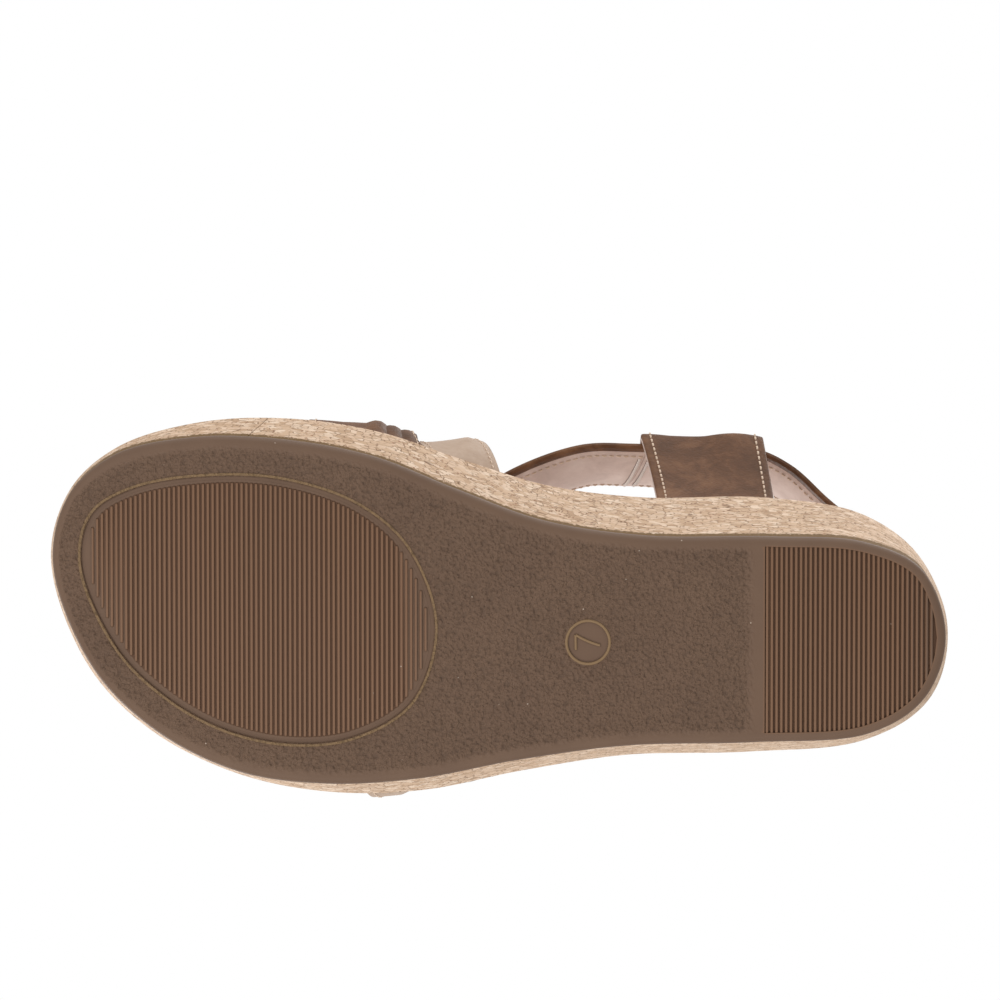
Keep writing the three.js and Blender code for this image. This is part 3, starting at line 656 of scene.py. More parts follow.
# Pressed cork: pale granules of a few tones with thin cracks between them, dark flecks of bark, and a dry
# surface.
pressed_cork, tree, shader = new_material("pressed_cork", {"Roughness": 0.78, "Specular IOR Level": 0.25})
lay = add_node(tree, "Attribute", attribute_name="lay").outputs["Vector"]
ruffle = add_node(tree, "TexNoise", {"Vector": lay, "Scale": 700.0, "Detail": 2.0})
shift = add_node(
    tree, "VectorMath", {0: ruffle.outputs["Color"], 1: (0.0007, 0.0007, 0.0)}, operation="MULTIPLY"
)
loose = add_node(tree, "VectorMath", {0: lay, 1: shift.outputs[0]}, operation="ADD")
squeezed = add_node(
    tree, "VectorMath",
    {0: loose.outputs[0], 1: (1 / (GRANULE_LENGTH * MM), 1 / (GRANULE_HEIGHT * MM), 300)},
    operation="MULTIPLY",
)
granule = add_node(tree, "TexVoronoi", {"Vector": squeezed.outputs[0], "Scale": 1.0})
border = add_node(
    tree, "TexVoronoi", {"Vector": squeezed.outputs[0], "Scale": 1.0}, feature="DISTANCE_TO_EDGE"
)
pick = add_node(tree, "SeparateColor", {0: granule.outputs["Color"]})
tones = add_node(tree, "ValToRGB", {0: pick.outputs["Red"]})
ramp = tones.color_ramp
ramp.elements[0].color, ramp.elements[1].color = linear("#a58363"), linear("#e6d1bb")
for spot, colour in ((0.28, "#c1a284"), (0.66, "#d1b59b")):
    ramp.elements.new(spot).color = linear(colour)
cloud = add_node(tree, "TexNoise", {"Vector": lay, "Scale": 1600.0, "Detail": 3.0, "Roughness": 0.7})
fleck = add_node(
    tree, "Mix", {0: cloud.outputs["Fac"], 6: linear("#b59273"), 7: linear("#dcc5ae")}, data_type="RGBA"
)
body_tone = add_node(tree, "Mix", {0: 0.38, 6: tones.outputs[0], 7: fleck.outputs[2]}, data_type="RGBA")
crack = add_node(
    tree, "MapRange", {"Value": border.outputs["Distance"], "From Min": 0.0, "From Max": 0.1,
                                 "To Min": 1.0, "To Max": 0.0}
)
some = add_node(tree, "MapRange", {"Value": pick.outputs["Green"], "From Min": 0.2, "From Max": 0.65})
cracked = add_node(tree, "Math", {0: crack.outputs[0], 1: some.outputs[0]}, operation="MULTIPLY")
outlined = add_node(
    tree, "Mix", {0: cracked.outputs[0], 6: body_tone.outputs[2], 7: linear("#735439")}, data_type="RGBA"
)
bark = add_node(tree, "TexVoronoi", {"Vector": squeezed.outputs[0], "Scale": 1.7, "Randomness": 1.0})
bark_pick = add_node(tree, "SeparateColor", {0: bark.outputs["Color"]})
dark_one = add_node(tree, "Math", {0: bark_pick.outputs["Red"], 1: 0.81}, operation="GREATER_THAN")
middle = add_node(
    tree, "MapRange", {"Value": bark.outputs["Distance"], "From Min": 0.2, "From Max": 0.34,
                                 "To Min": 1.0, "To Max": 0.0}
)
speck = add_node(tree, "Math", {0: dark_one.outputs[0], 1: middle.outputs[0]}, operation="MULTIPLY")
speck_tone = add_node(
    tree, "Mix", {0: bark_pick.outputs["Green"], 6: linear("#54371f"), 7: linear("#8f5a3c")},
    data_type="RGBA",
)
specked = add_node(
    tree, "Mix", {0: speck.outputs[0], 6: outlined.outputs[2], 7: speck_tone.outputs[2]}, data_type="RGBA"
)
glue = add_node(tree, "TexNoise", {"Vector": lay, "Scale": 900.0, "Detail": 3.0, "Roughness": 0.7})
near_foot = add_node(
    tree, "MapRange",
    {"Value": add_node(tree, "Attribute", attribute_name="beyond").outputs["Fac"],
     "From Min": 0.1, "From Max": 0.75, "To Min": 1.0, "To Max": 0.0},
)
glue_line = add_node(tree, "Math", {0: near_foot.outputs[0], 1: glue.outputs["Fac"]}, operation="MULTIPLY")
glue_mask = add_node(tree, "MapRange", {"Value": glue_line.outputs[0], "From Min": 0.26, "From Max": 0.36})
glued = add_node(
    tree, "Mix", {0: glue_mask.outputs[0], 6: specked.outputs[2], 7: linear("#6e5433")}, data_type="RGBA"
)
tree.links.new(glued.outputs[2], shader.inputs["Base Color"])
hollow = add_node(tree, "Math", {0: cracked.outputs[0], 1: speck.outputs[0]}, operation="ADD")
level = add_node(tree, "Math", {0: cloud.outputs["Fac"], 1: hollow.outputs[0]}, operation="SUBTRACT")
bump = add_node(tree, "Bump", {"Height": level.outputs[0], "Strength": 0.5, "Distance": 0.00018})
tree.links.new(bump.outputs["Normal"], shader.inputs["Normal"])
cork.data.materials.clear()
cork.data.materials.append(pressed_cork)
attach(cork, "sandal")
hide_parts("cork_wrap")

# ---------------------------------------------------------------- wedge and insole board
# The wedge is moulded EVA foam, and the insole board over it is pressed fibre. Both are closed in by the
# cork, and only a hairline of them shows beside the straps.


def plain_finish(name, low, high, grain_mm, roughness, relief):
    """A mottled matt material whose grain has that size in millimetres."""
    stuff, tree, shader = new_material(name, {"Roughness": roughness})
    where = add_node(tree, "TexCoord").outputs["Object"]
    mottle = add_node(tree, "TexNoise", {"Vector": where, "Scale": 1 / (grain_mm * MM), "Detail": 4.0})
    tone = add_node(
        tree, "Mix", {0: mottle.outputs["Fac"], 6: linear(low), 7: linear(high)}, data_type="RGBA"
    )
    tree.links.new(tone.outputs[2], shader.inputs["Base Color"])
    bump = add_node(tree, "Bump", {"Height": mottle.outputs["Fac"], "Strength": 0.6, "Distance": relief * MM})
    tree.links.new(bump.outputs["Normal"], shader.inputs["Normal"])
    return stuff


def refinish(node, stuff):
    """Gives a piece of the frame its material."""
    thing = nodes[node]
    thing.data.materials.clear()
    thing.data.materials.append(stuff)


refinish("wedge_core", plain_finish("moulded_eva_foam", "#cbc4b8", "#ded8ce", 1.2, 0.85, 0.05))
refinish("insole_board", plain_finish("pressed_fibreboard", "#a8957c", "#c4b299", 0.6, 0.9, 0.05))

# ---------------------------------------------------------------- crossed straps
# Two leather straps, each lined, cross over the forefoot. Their ends run down between footbed and cork and
# are turned in under the insole board. The front one is gathered in three soft pleats where its rear half
# meets the inner side.

LINING = 0.8
LEATHER = 1.2
LAYER_GAP = 0.3
STRAP = LINING + LAYER_GAP + LEATHER
BEHIND_CORK = 2.4
SLOT_DEPTH = 9.3
LASTING = 11.0
TURN_RADIUS = 2.2
RISE_OVER_RIM = 3.0
VAMP_HEIGHTS = (36.0, 54.0)
# How far each side of the arch swells out: pairs of x and swell.
MEDIAL_BULGE = [(0, 7.6), (9, 7.4), (18, 4.0), (24, 1.9), (29, 1.5), (36, 1.6), (44, 0.7), (57, 0.2)]
LATERAL_BULGE = [(0, 2.6), (9, 2.9), (16, 2.4), (22, 3.0), (28, 5.4), (38, 5.8)]
# A strap's ends along the sole in percent, how early it swings across, and how far its back edge is gathered
# in.
FRONT_STRAP = {"medial": (72, 58.6), "lateral": (57.9, 50.2), "lean": -0.9, "gather": 3.0}
REAR_STRAP = {"medial": (58.3, 49.9), "lateral": (65.7, 58.2), "lean": 1.15, "gather": 0.0}
STRAP_COLUMNS = 60
ARCH_ROWS = 90
BURNISH_WIDTH = 3.2  # how far in from a cut edge the leather is darkened
# Where the gathered folds start along the sole, and their rise.
PLEATS = ((34.2, 1.2), (29.6, 0.9), (24.6, 0.7))


def unit(v):
    return v / np.maximum(np.linalg.norm(v, axis=-1, keepdims=True), 1e-9)


def wall_at_depth(depth, inset):
    """The side wall's outline at a depth under the rim, moved inwards."""
    x = sole_edge[:, 0]
    return wall(1 - depth / (rim(x) - wall_foot(x)), inset)


slot_top = wall_at_depth(0, BEHIND_CORK + STRAP + 0.3)
slot_foot = wall_at_depth(SLOT_DEPTH, BEHIND_CORK + STRAP + 0.3)


def strap_root(x, side):
    """A strap's inner face at each x, as rows from its end under the board to just over the rim."""
    top, foot = crossing(slot_top, x, side), crossing(slot_foot, x, side)
    floor_height = rim(x) - SLOT_DEPTH
    rows = [np.stack([x, foot - side * LASTING, floor_height], 1),
        np.stack([x, foot - side * 6, floor_height], 1)]
    for degrees in range(0, 91, 15):
        inwards = TURN_RADIUS * (1 - math.sin(math.radians(degrees)))
        rise = TURN_RADIUS * (1 - math.cos(math.radians(degrees)))
        rows.append(np.stack([x, foot - side * inwards, floor_height + rise], 1))
    lean = (top - foot) / SLOT_DEPTH
    for above in (-4.5, -2.0, 0.0, 1.5, RISE_OVER_RIM):
        rows.append(np.stack([x, top + lean * above, rim(x) + above], 1))
    return rows


def arch(x, t):
    """The foot-shaped arch at each x: t runs from the inner rim over the crown to the outer rim."""
    medial, lateral = strap_root(x, 1)[-1], strap_root(x, -1)[-1]
    front = along(FRONT_STRAP["medial"][0])
    back = (front - x) / (front - along(REAR_STRAP["medial"][1]))
    height = lerp(*VAMP_HEIGHTS, back)
    crown = np.stack([x, lerp(lateral[:, 1], medial[:, 1], 0.56), rim(x) + height], 1)
    inner = (t < 0.5)[:, None]
    side = np.where(inner[:, 0], 1, -1)
    start = np.where(inner, medial, lateral)
    bulge = np.where(inner[:, 0], np.interp(x, *zip(*MEDIAL_BULGE)), np.interp(x, *zip(*LATERAL_BULGE)))
    swell = np.stack([x, start[:, 1] + side * 3 * bulge, start[:, 2] + 0.62 * height], 1)
    shoulder = np.stack([x, lerp(crown[:, 1], start[:, 1], 0.7), crown[:, 2]], 1)
    k = np.where(inner[:, 0], 2 * t, 2 - 2 * t)[:, None]
    return (1 - k) ** 3 * start + 3 * (1 - k) ** 2 * k * swell + 3 * (1 - k) * k**2 * shoulder + k**3 * crown


def normals_of(grid):
    return unit(np.cross(np.gradient(grid, axis=0), np.gradient(grid, axis=1)))


def strap_surface(strap, lift):
    """The inner face of a crossed strap as a grid, lifted over what it crosses, its normals off the foot."""
    share = np.linspace(0, 1, STRAP_COLUMNS)
    medial_x = along(lerp(*strap["medial"], share))
    lateral_x = along(lerp(*strap["lateral"], share))
    arch_rows = []
    for t in np.linspace(0, 1, ARCH_ROWS + 1)[1:-1]:
        x = lerp(medial_x, lateral_x, t + strap["lean"] * math.sin(2 * math.pi * t) / (2 * math.pi))
        x = x + strap["gather"] * share**2 * smoothstep(t, 0, 0.1) * (1 - smoothstep(t, 0.12, 0.6))
        arch_rows.append(arch(x, np.full(STRAP_COLUMNS, t)))
    medial_root, lateral_root = strap_root(medial_x, 1), strap_root(lateral_x, -1)
    grid = np.array(medial_root + arch_rows + lateral_root[::-1])[:, ::-1]
    t = np.clip((np.arange(len(grid)) - len(medial_root) + 1) / ARCH_ROWS, 0, 1)
    share = smoothstep(t, 0.01, 0.12) * (1 - smoothstep(t, 0.88, 0.99))
    rise = (lift * share)[:, None] * np.ones((1, STRAP_COLUMNS))
    if lift:
        folds = sum(high * np.exp(-(((medial_x[::-1] - spot) / 1.5) ** 2)) for spot, high in PLEATS)
        rise = rise + folds[None] * (smoothstep(t, 0.0, 0.06) * (1 - smoothstep(t, 0.18, 0.5)))[:, None]
    return grid + normals_of(grid) * rise[..., None]


def sheet_skin(grid, low, high, edge=None):
    """The skin of a sheet between two offsets from a grid, with rounded edges all round."""
    thickness = high - low
    radius = thickness / 2 if edge is None else edge
    normal = normals_of(grid)
    sideways = unit(np.gradient(grid, axis=1))
    lengthways = unit(np.gradient(grid, axis=0))
    start, end = grid[:1] + lengthways[:1] * radius, grid[-1:] - lengthways[-1:] * radius
    near_start, near_end = start * 0.8 + grid[:1] * 0.2, end * 0.8 + grid[-1:] * 0.2
    spine = np.concatenate([grid[:1], near_start, start, grid[1:-1], end, near_end, grid[-1:]])
    normal, sideways = (np.concatenate([a[:1]] * 3 + [a[1:-1]] + [a[-1:]] * 3) for a in (normal, sideways))
    share = np.ones(len(spine))
    share[[0, -1]], share[[1, -2]] = 0.35, 0.92
    middle = (low + high) / 2
    rings = []
    for points, n, s, k in zip(spine, normal, sideways, share):
        half = thickness / 2 * k
        first, last = points[0] + s[0] * radius * k, points[-1] - s[-1] * radius * k
        core = np.vstack([first, points[1:-1], last])
        lower = core + n * (middle - half)
        upper = (core + n * (middle + half))[::-1]
        arc = ((0.75, -0.66), (1, 0), (0.75, 0.66))
        turn_last = [last + n[-1] * (middle + half * b) + s[-1] * radius * k * a for a, b in arc]
        turn_first = [first + n[0] * (middle + half * b) - s[0] * radius * k * a for a, b in arc[::-1]]
        rings.append(np.vstack([lower, turn_last, upper, turn_first]))
    n = len(rings[0])
    columns = grid.shape[1]
    upper_start = columns + 3
    faces = side_faces(len(rings), n)
    for base, turned in ((0, False), ((len(rings) - 1) * n, True)):
        cap = [
            (base + i, base + i + 1, base + upper_start + columns - 2 - i,
                base + upper_start + columns - 1 - i)
            for i in range(columns - 1)
        ]
        last_turn = [base + columns - 1 + i for i in range(5)]
        first_turn = [base + upper_start + columns - 1 + i for i in range(4)] + [base]
        faces += [c if turned else c[::-1] for c in cap + [tuple(last_turn), tuple(first_turn)]]
    return np.vstack(rings), faces


def edge_distances(thing, grid):
    """Stores how near each point lies to the side edges, from 1 there to 0 at the burnish width."""
    sides = np.vstack([grid[:, 0], grid[:, -1]])
    place = np.array([v.co for v in thing.data.vertices]) / MM
    gap = np.full(len(place), 1e9)
    for chunk in np.array_split(sides, 12):
        gap = np.minimum(gap, np.sqrt(((place[:, None] - chunk[None]) ** 2).sum(2)).min(1))
    store(thing, "near_edge", np.clip(1 - gap / BURNISH_WIDTH, 0, 1))


def leather(
    name, dark, body, light, grain_mm, roughness, edge_dark=0.5, relief=0.12, contrast=1.0, sheen=0.1
):
    """Dyed leather: cloudy colour in two sizes of patch, fine pores, creases, and a darker cut edge."""
    hide, tree, shader = new_material(name, {
        "Roughness": roughness, "IOR": 1.5, "Specular IOR Level": 0.18,
        "Sheen Weight": sheen, "Sheen Roughness": 0.35, "Sheen Tint": linear(light),
    })
    where = add_node(tree, "TexCoord").outputs["Object"]
    patches = add_node(
        tree, "TexNoise", {"Vector": where, "Scale": 95.0, "Detail": 5.0, "Roughness": 0.62,
            "Distortion": 0.6}
    )
    tones = add_node(tree, "ValToRGB", {0: patches.outputs["Fac"]})
    ramp = tones.color_ramp
    spread = 0.17 / contrast
    ramp.elements[0].position, ramp.elements[0].color = 0.5 - spread, linear(dark)
    ramp.elements[1].position, ramp.elements[1].color = 0.5 + spread, linear(light)
    ramp.elements.new(0.5).color = linear(body)
    flecks = add_node(tree, "TexNoise", {"Vector": where, "Scale": 620.0, "Detail": 3.0, "Roughness": 0.7})
    fleck_tone = add_node(
        tree, "Mix", {0: flecks.outputs["Fac"], 6: linear(dark), 7: linear(light)}, data_type="RGBA"
    )
    mixed = add_node(tree, "Mix", {0: 0.35, 6: tones.outputs[0], 7: fleck_tone.outputs[2]}, data_type="RGBA")
    near = add_node(tree, "Attribute", attribute_name="near_edge").outputs["Fac"]
    burnish = add_node(
        tree, "MapRange", {"Value": near, "From Min": 0.55, "From Max": 1.0, "To Min": 0.0,
            "To Max": edge_dark}
    )
    edged = add_node(
        tree, "Mix", {0: burnish.outputs[0], 6: mixed.outputs[2], 7: linear(dark)}, data_type="RGBA"
    )
    tree.links.new(edged.outputs[2], shader.inputs["Base Color"])
    pores = add_node(
        tree, "TexVoronoi", {"Vector": where, "Scale": 1 / (grain_mm * MM), "Randomness": 1.0},
        feature="SMOOTH_F1",
    )
    creases = add_node(
        tree, "TexNoise", {"Vector": where, "Scale": 330.0, "Detail": 5.0, "Roughness": 0.65,
            "Distortion": 1.2}
    )
    height = add_node(
        tree, "Math", {0: pores.outputs["Distance"], 1: 0.6, 2: creases.outputs["Fac"]},
        operation="MULTIPLY_ADD",
    )
    bump = add_node(tree, "Bump", {"Height": height.outputs[0], "Strength": 0.6, "Distance": relief * MM})
    tree.links.new(bump.outputs["Normal"], shader.inputs["Normal"])
    return hide


brown_leather = leather(
    "brown_oiled_leather", "#3f2716", "#583924", "#7c573c", 0.75, 0.55, relief=0.26, sheen=0.35
)
tan_leather = leather(
    "tan_smooth_leather", "#9f8570", "#ae9682", "#bda794", 0.7, 0.5, contrast=0.8, edge_dark=0.35
)
lining_leather = leather(
    "pigskin_lining", "#bba59a", "#d2bdb2", "#e2d1c7", 0.55, 0.7, contrast=0.7, edge_dark=0.2
)


def sheet_piece(name, grid, low, high, stuff, node, slot, body="sandal", blend=None):
    """A sheet of leather that stands for a node and moves with a body, or has its transform baked in."""
    thing = outward_faces(make(name, sheet_skin(grid, low, high), stuff, sharp=60))
    edge_distances(thing, grid)
    stand_for(thing, node, body, blend)


def stand_for(thing, node, body="sandal", blend=None):
    """The piece moves with a body, or has its transform baked in, and the node it replaces is hidden."""
    move(thing, body, blend)
    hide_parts(node)


def move(thing, body, blend):
    if blend:
        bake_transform(thing)
    else:
        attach(thing, body)


def stitch_skins(path, normal, pitch=2.3, length=1.55, width=0.5, height=0.32):
    """A row of stitches along a path of points, as one small rounded bar of thread after another."""
    step = np.linalg.norm(np.diff(path, axis=0), axis=1)
    run = np.concatenate([[0], np.cumsum(step)])
    count = max(int((run[-1] - length) / pitch), 1)
    skins = []
    for i in range(count + 1):
        begin = i * pitch + (run[-1] - count * pitch - length) / 2
        spots = begin + np.array([0, 0.12, 0.5, 0.88, 1.0]) * length
        centre = np.stack([np.interp(spots, run, path[:, k]) for k in range(3)], 1)
        up = unit(np.stack([np.interp(spots, run, normal[:, k]) for k in range(3)], 1))
        forward = unit(np.gradient(centre, axis=0))
        side = unit(np.cross(forward, up))
        rings = []
        fatness, rises = (0.45, 0.9, 1, 0.9, 0.45), (-0.6, 0.1, 0.45, 0.1, -0.6)
        for c, u, s, fat, rise in zip(centre, up, side, fatness, rises):
            turn = np.linspace(0, 2 * np.pi, 8, endpoint=False)
            circle = np.outer(np.cos(turn) * width / 2 * fat, s)
            circle = circle + np.outer(np.sin(turn) * height / 2 * fat, u)
            rings.append(c + u * rise * height + circle)
        skins.append(tube(rings))
    return skins


def twisted_thread(name, low, high):
    return plain_finish(name, low, high, 0.25, 0.6, 0.03)


beige_thread = twisted_thread("beige_waxed_thread", "#c2a78f", "#dcc6b0")
# Painted shade for the needle holes of the seam's stitches.
stitch_hole_shade = plain_finish("painted_stitch_hole_shade", "#6d5449", "#84695c", 0.3, 0.8, 0.02)
white_thread = twisted_thread("white_waxed_thread", "#dcd3cc", "#f3eeea")


def stitched(name, skins, thread, slot, body="sandal", blend=None):
    thing = outward_faces(make(name, joined(name, skins), thread, sharp=80))
    move(thing, body, blend)
    return thing


def inset_line(grid, distance, offset, side):
    """A line a distance inside one side edge of a grid, and its normals, raised by an offset."""
    run = np.linalg.norm(np.diff(grid, axis=1), axis=2)
    run = np.concatenate([np.zeros((len(grid), 1)), np.cumsum(run, 1)], 1)
    normal = normals_of(grid)
    wanted = distance if side < 0 else run[:, -1] - distance
    wanted = np.broadcast_to(wanted, len(grid))
    points = np.array([[np.interp(w, r, g[:, k]) for k in range(3)] for w, r, g in zip(wanted, run, grid)])
    turned = np.array([[np.interp(w, r, n[:, k]) for k in range(3)] for w, r, n in zip(wanted, run, normal)])
    return points + unit(turned) * offset, unit(turned)


def edge_rows(grid, inset, rise, **size):
    """Rows of stitches along both side edges of a grid."""
    return [skin for side in (-1, 1) for skin in stitch_skins(*inset_line(grid, inset, rise, side), **size)]


STITCH_INSET = 2.2
for name, strap, lift, stuff, slot in (
    ("front_strap", FRONT_STRAP, STRAP + 0.3, brown_leather, "brown_leather"),
    ("rear_strap", REAR_STRAP, 0.0, tan_leather, "tan_leather"),
):
    grid = strap_surface(strap, lift)
    sheet_piece(f"{name}_lining_sheet", grid, 0, LINING, lining_leather, f"{name}_lining", "lining")
    sheet_piece(f"{name}_leather", grid, LINING + LAYER_GAP, STRAP, stuff, f"{name}_outer", slot)
    stitched(f"{name}_stitching", edge_rows(grid[12:-12], STITCH_INSET, STRAP + 0.02), beige_thread, slot)

# ---------------------------------------------------------------- footbed
# A 5 mm foam pad under a sheet of lining leather, which is pressed into a shallow dish for the heel and the
# ball. Both are let in at the sides where the straps pass, and the leather is stitched down 3.5 mm from its
# edge.

FOAM = 5.0
SOCK = 1.2
DISH = 1.5


def strap_notch(x, side):
    """1 where a strap or tab passes between footbed and cork at x, else 0."""
    passing = {1: ((72, 49.9), (32.4, 19.1)), -1: ((65.7, 50.2), (34.8, 21.9))}[side]
    return sum(
        smoothstep(x, along(b) - 1.6, along(b) - 0.6) * (1 - smoothstep(x, along(a) + 0.6, along(a) + 1.6))
        for a, b in passing
    )


def footbed_ring(depth, inset, heights=None):
    """A ring of the footbed at a depth under the rim, let in where straps pass."""
    plain = wall_at_depth(depth, BEHIND_CORK + inset)
    deep = wall_at_depth(depth, BEHIND_CORK + STRAP + 0.7 + inset)
    side = np.where(np.arange(len(plain)) < np.argmin(plain[:, 0]), 1, -1)
    share = np.where(side > 0, strap_notch(plain[:, 0], 1), strap_notch(plain[:, 0], -1))
    loop = plain + (deep - plain) * share[:, None]
    return ring(loop, heights or (lambda x: rim(x) - depth))


def dished(inset, depth):
    """How far the footbed sinks at a distance inside its edge, as a height function for its ring."""
    sink = DISH * smoothstep(inset, 0, 22)
    return lambda x: rim(x) - depth - sink


foam_foot = SOCK + 0.3 + FOAM
levels = [(foam_foot - 0.2, 0.6), (foam_foot - 1.2, 0.1), (SOCK + 0.3 + 1.2, 0.1), (SOCK + 0.55, 0.7)]
foam_rings = [footbed_ring(d, i) for d, i in levels]
foam_rings += [footbed_ring(SOCK + 0.35, i, dished(i, SOCK + 0.35)) for i in (3, 7, 12, 18, 24)]
foam_rings.insert(0, footbed_ring(SOCK + 0.3 + FOAM, 6, lambda x: rim(x) - SOCK - 0.3 - FOAM))
foam_pad = outward_faces(make("footbed_foam_pad", loft(foam_rings), sharp=50))
foam_pad.data.materials.append(plain_finish("open_cell_foam", "#d9d2c2", "#ece6d9", 0.6, 0.95, 0.12))
stand_for(foam_pad, "footbed_foam")

sock_rings = [footbed_ring(SOCK + 0.05, i, dished(i, SOCK + 0.05)) for i in (24, 18, 12, 7, 3, 0.5)]
sock_rings += [footbed_ring(SOCK / 2, 0.0), footbed_ring(0.12, 0.25)]
sock_rings += [footbed_ring(0, i, dished(i, 0.0)) for i in (1, 3, 7, 12, 18, 24)]
sock = outward_faces(make("sock_leather", loft(sock_rings), lining_leather, sharp=50))
stand_for(sock, "sock_lining")
seam_line = footbed_ring(0, 3.5, dished(3.5, -0.05))
seam_line = np.vstack([seam_line, seam_line[:1]])
sock_rows = stitch_skins(seam_line, np.tile([0, 0, 1.0], (len(seam_line), 1)))
stitched("sock_stitching", sock_rows, beige_thread, "lining")

# ---------------------------------------------------------------- ankle collar
# The collar is a padded band in two lengths, butted at a slanting seam on the inner side. Each is lining
# leather, a thin foam and a leather face, with the edges bound.

COLLAR_RISE = 38.0
COLLAR_HEIGHT = 27.0
PADDING = 1.0
TAPE = 1.0
TAPE_GAP = 0.6
FRONT_LEAN = 11.5
BACK_LEAN = 4.0
BAND = LINING + PADDING + LEATHER + 2 * LAYER_GAP
LAP = 2 * TAPE + TAPE_GAP + 2 * LAYER_GAP + LEATHER
EDGE_LINING = 1.75  # the band thins to its bound edges: how far the lining and the face come in there
EDGE_FACE = -0.5
SKIVED_LINING = 0.5  # both leathers are pared thin where they meet in the bindings
SKIVED_FACE = 0.7
PUFF = 0.6
COLLAR_STITCH_INSET = 2.7
# Each point: percent along, percent across, and height over the collar's lowest side, in millimetres.
COLLAR_LINE = [
    (56.5, 1.5, 12), (54.4, 19, 9), (49.3, 30.6, 5), (40.5, 39.6, 3), (34.5, 40.1, 2.3), (27, 39, 1.5),
    (20.5, 38.9, 1), (16.5, 34.2, 0.4), (12.8, 25.6, -0.2), (7.2, 12, -2), (4.9, -5.5, -3),
    (7.4, -22.5, -2), (14, -33.5, 0), (23, -37.8, 1),
    (33, -37.8, 2), (43, -33.6, 4), (51, -25.4, 7), (55.3, -14, 10),
]
collar_line = smooth_loop(
    [(along(x), across(y), HEEL_HEIGHT + COLLAR_RISE + z) for x, y, z in COLLAR_LINE], 60
)
collar_line = np.vstack([collar_line, collar_line[:1]])
collar_run = np.concatenate([[0], np.cumsum(np.linalg.norm(np.diff(collar_line, axis=0), axis=1))])
collar_run /= collar_run[-1]


def collar_base(u):
    turn = np.mod(u, 1)
    return np.stack([np.interp(turn, collar_run, collar_line[:, k]) for k in range(3)], -1)


def collar_point(u, v):
    """A point on the collar's inner face: u runs round from the instep over the inner side, v runs up."""
    u, v = np.broadcast_arrays(np.asarray(u, float), np.asarray(v, float))
    base = collar_base(u)
    tangent = unit(collar_base(u + 0.002) - collar_base(u - 0.002))
    inward = unit(np.stack([-tangent[..., 1], tangent[..., 0], np.zeros(u.shape)], -1))
    lean = lerp(BACK_LEAN, FRONT_LEAN, smoothstep(base[..., 0], along(4), along(24)))
    return base + inward * (lean * v)[..., None] + np.stack([0 * u, 0 * u, COLLAR_HEIGHT * v], -1)


def collar_place(percent, side):
    turn = np.arange(4000) / 4000
    spots = collar_base(turn)
    miss = np.where(spots[:, 1] * side > across(1), np.abs(spots[:, 0] - along(percent)), 1e9)
    return turn[np.argmin(miss)]


SEAM = (collar_place(32.7, 1), collar_place(34.8, 1))
FOLD = collar_place(49.5, -1) - 1
TAIL = collar_place(37.5, -1) - 1
END_GAP = 0.03 / np.linalg.norm(np.diff(collar_line, axis=0), axis=1).sum()


def collar_grid(start, end, low, high, steps, rows, stand_off=None):
    """A grid on the collar between two places, each given as its value at the band's foot and head."""
    v = np.linspace(low, high, rows)
    share = np.linspace(0, 1, steps)[:, None]
    u = lerp(start[0], start[1], v) * (1 - share) + lerp(end[0], end[1], v) * share
    grid = collar_point(u, np.broadcast_to(v, u.shape))
    if stand_off:
        grid = grid + normals_of(grid) * stand_off(u)[..., None]
    return grid


def lapped(u):
    """How far the front length stands off where it comes from the fastening, over the back length's end."""
    return LAP * (1 - smoothstep(u, FOLD + 0.02, FOLD + 0.15))


def puffed(grid, edge, middle):
    """The grid moved along its normals, by one amount at the bound edges and another in the middle."""
    v = np.linspace(0, 1, grid.shape[1])
    rise = lerp(edge, middle, np.sin(np.pi * v) ** 0.6)
    return grid + normals_of(grid) * rise[None, :, None]


def binding_skin(edge, outward, up, direction):
    """A strip of leather wrapped round one edge of the band, like a U that opens away from the edge."""
    low, high = EDGE_LINING - 0.08, BAND + EDGE_FACE + 0.08
    lip, wall_out = 1.35, 0.26
    section = [(high, lip), (high + wall_out, lip - 0.25), (high + wall_out, -0.3), (high + 0.05, -1.35)]
    section += [((low + high) / 2, -1.75), (low - 0.05, -1.35), (low - wall_out, -0.3)]
    section += [(low - wall_out, lip - 0.25), (low, lip)]
    section += [(low + 0.02, 0), (low + 0.05, -0.25), (high - 0.05, -0.25), (high - 0.02, 0)]
    rings = []
    for p, n, w in zip(edge, outward, up):
        rings.append(np.array([p + n * o + w * (h * direction) for o, h in section]))
    count = len(section)
    faces = side_faces(len(rings), count)
    for base, turned in ((0, False), ((len(rings) - 1) * count, True)):
        caps = [(0, 1, 2, 12), (12, 2, 3, 11), (11, 3, 4), (11, 4, 10), (10, 4, 5), (10, 5, 6, 9),
            (9, 6, 7, 8)]
        faces += [tuple(base + i for i in (cap if turned else cap[::-1])) for cap in caps]
    return np.vstack(rings), faces


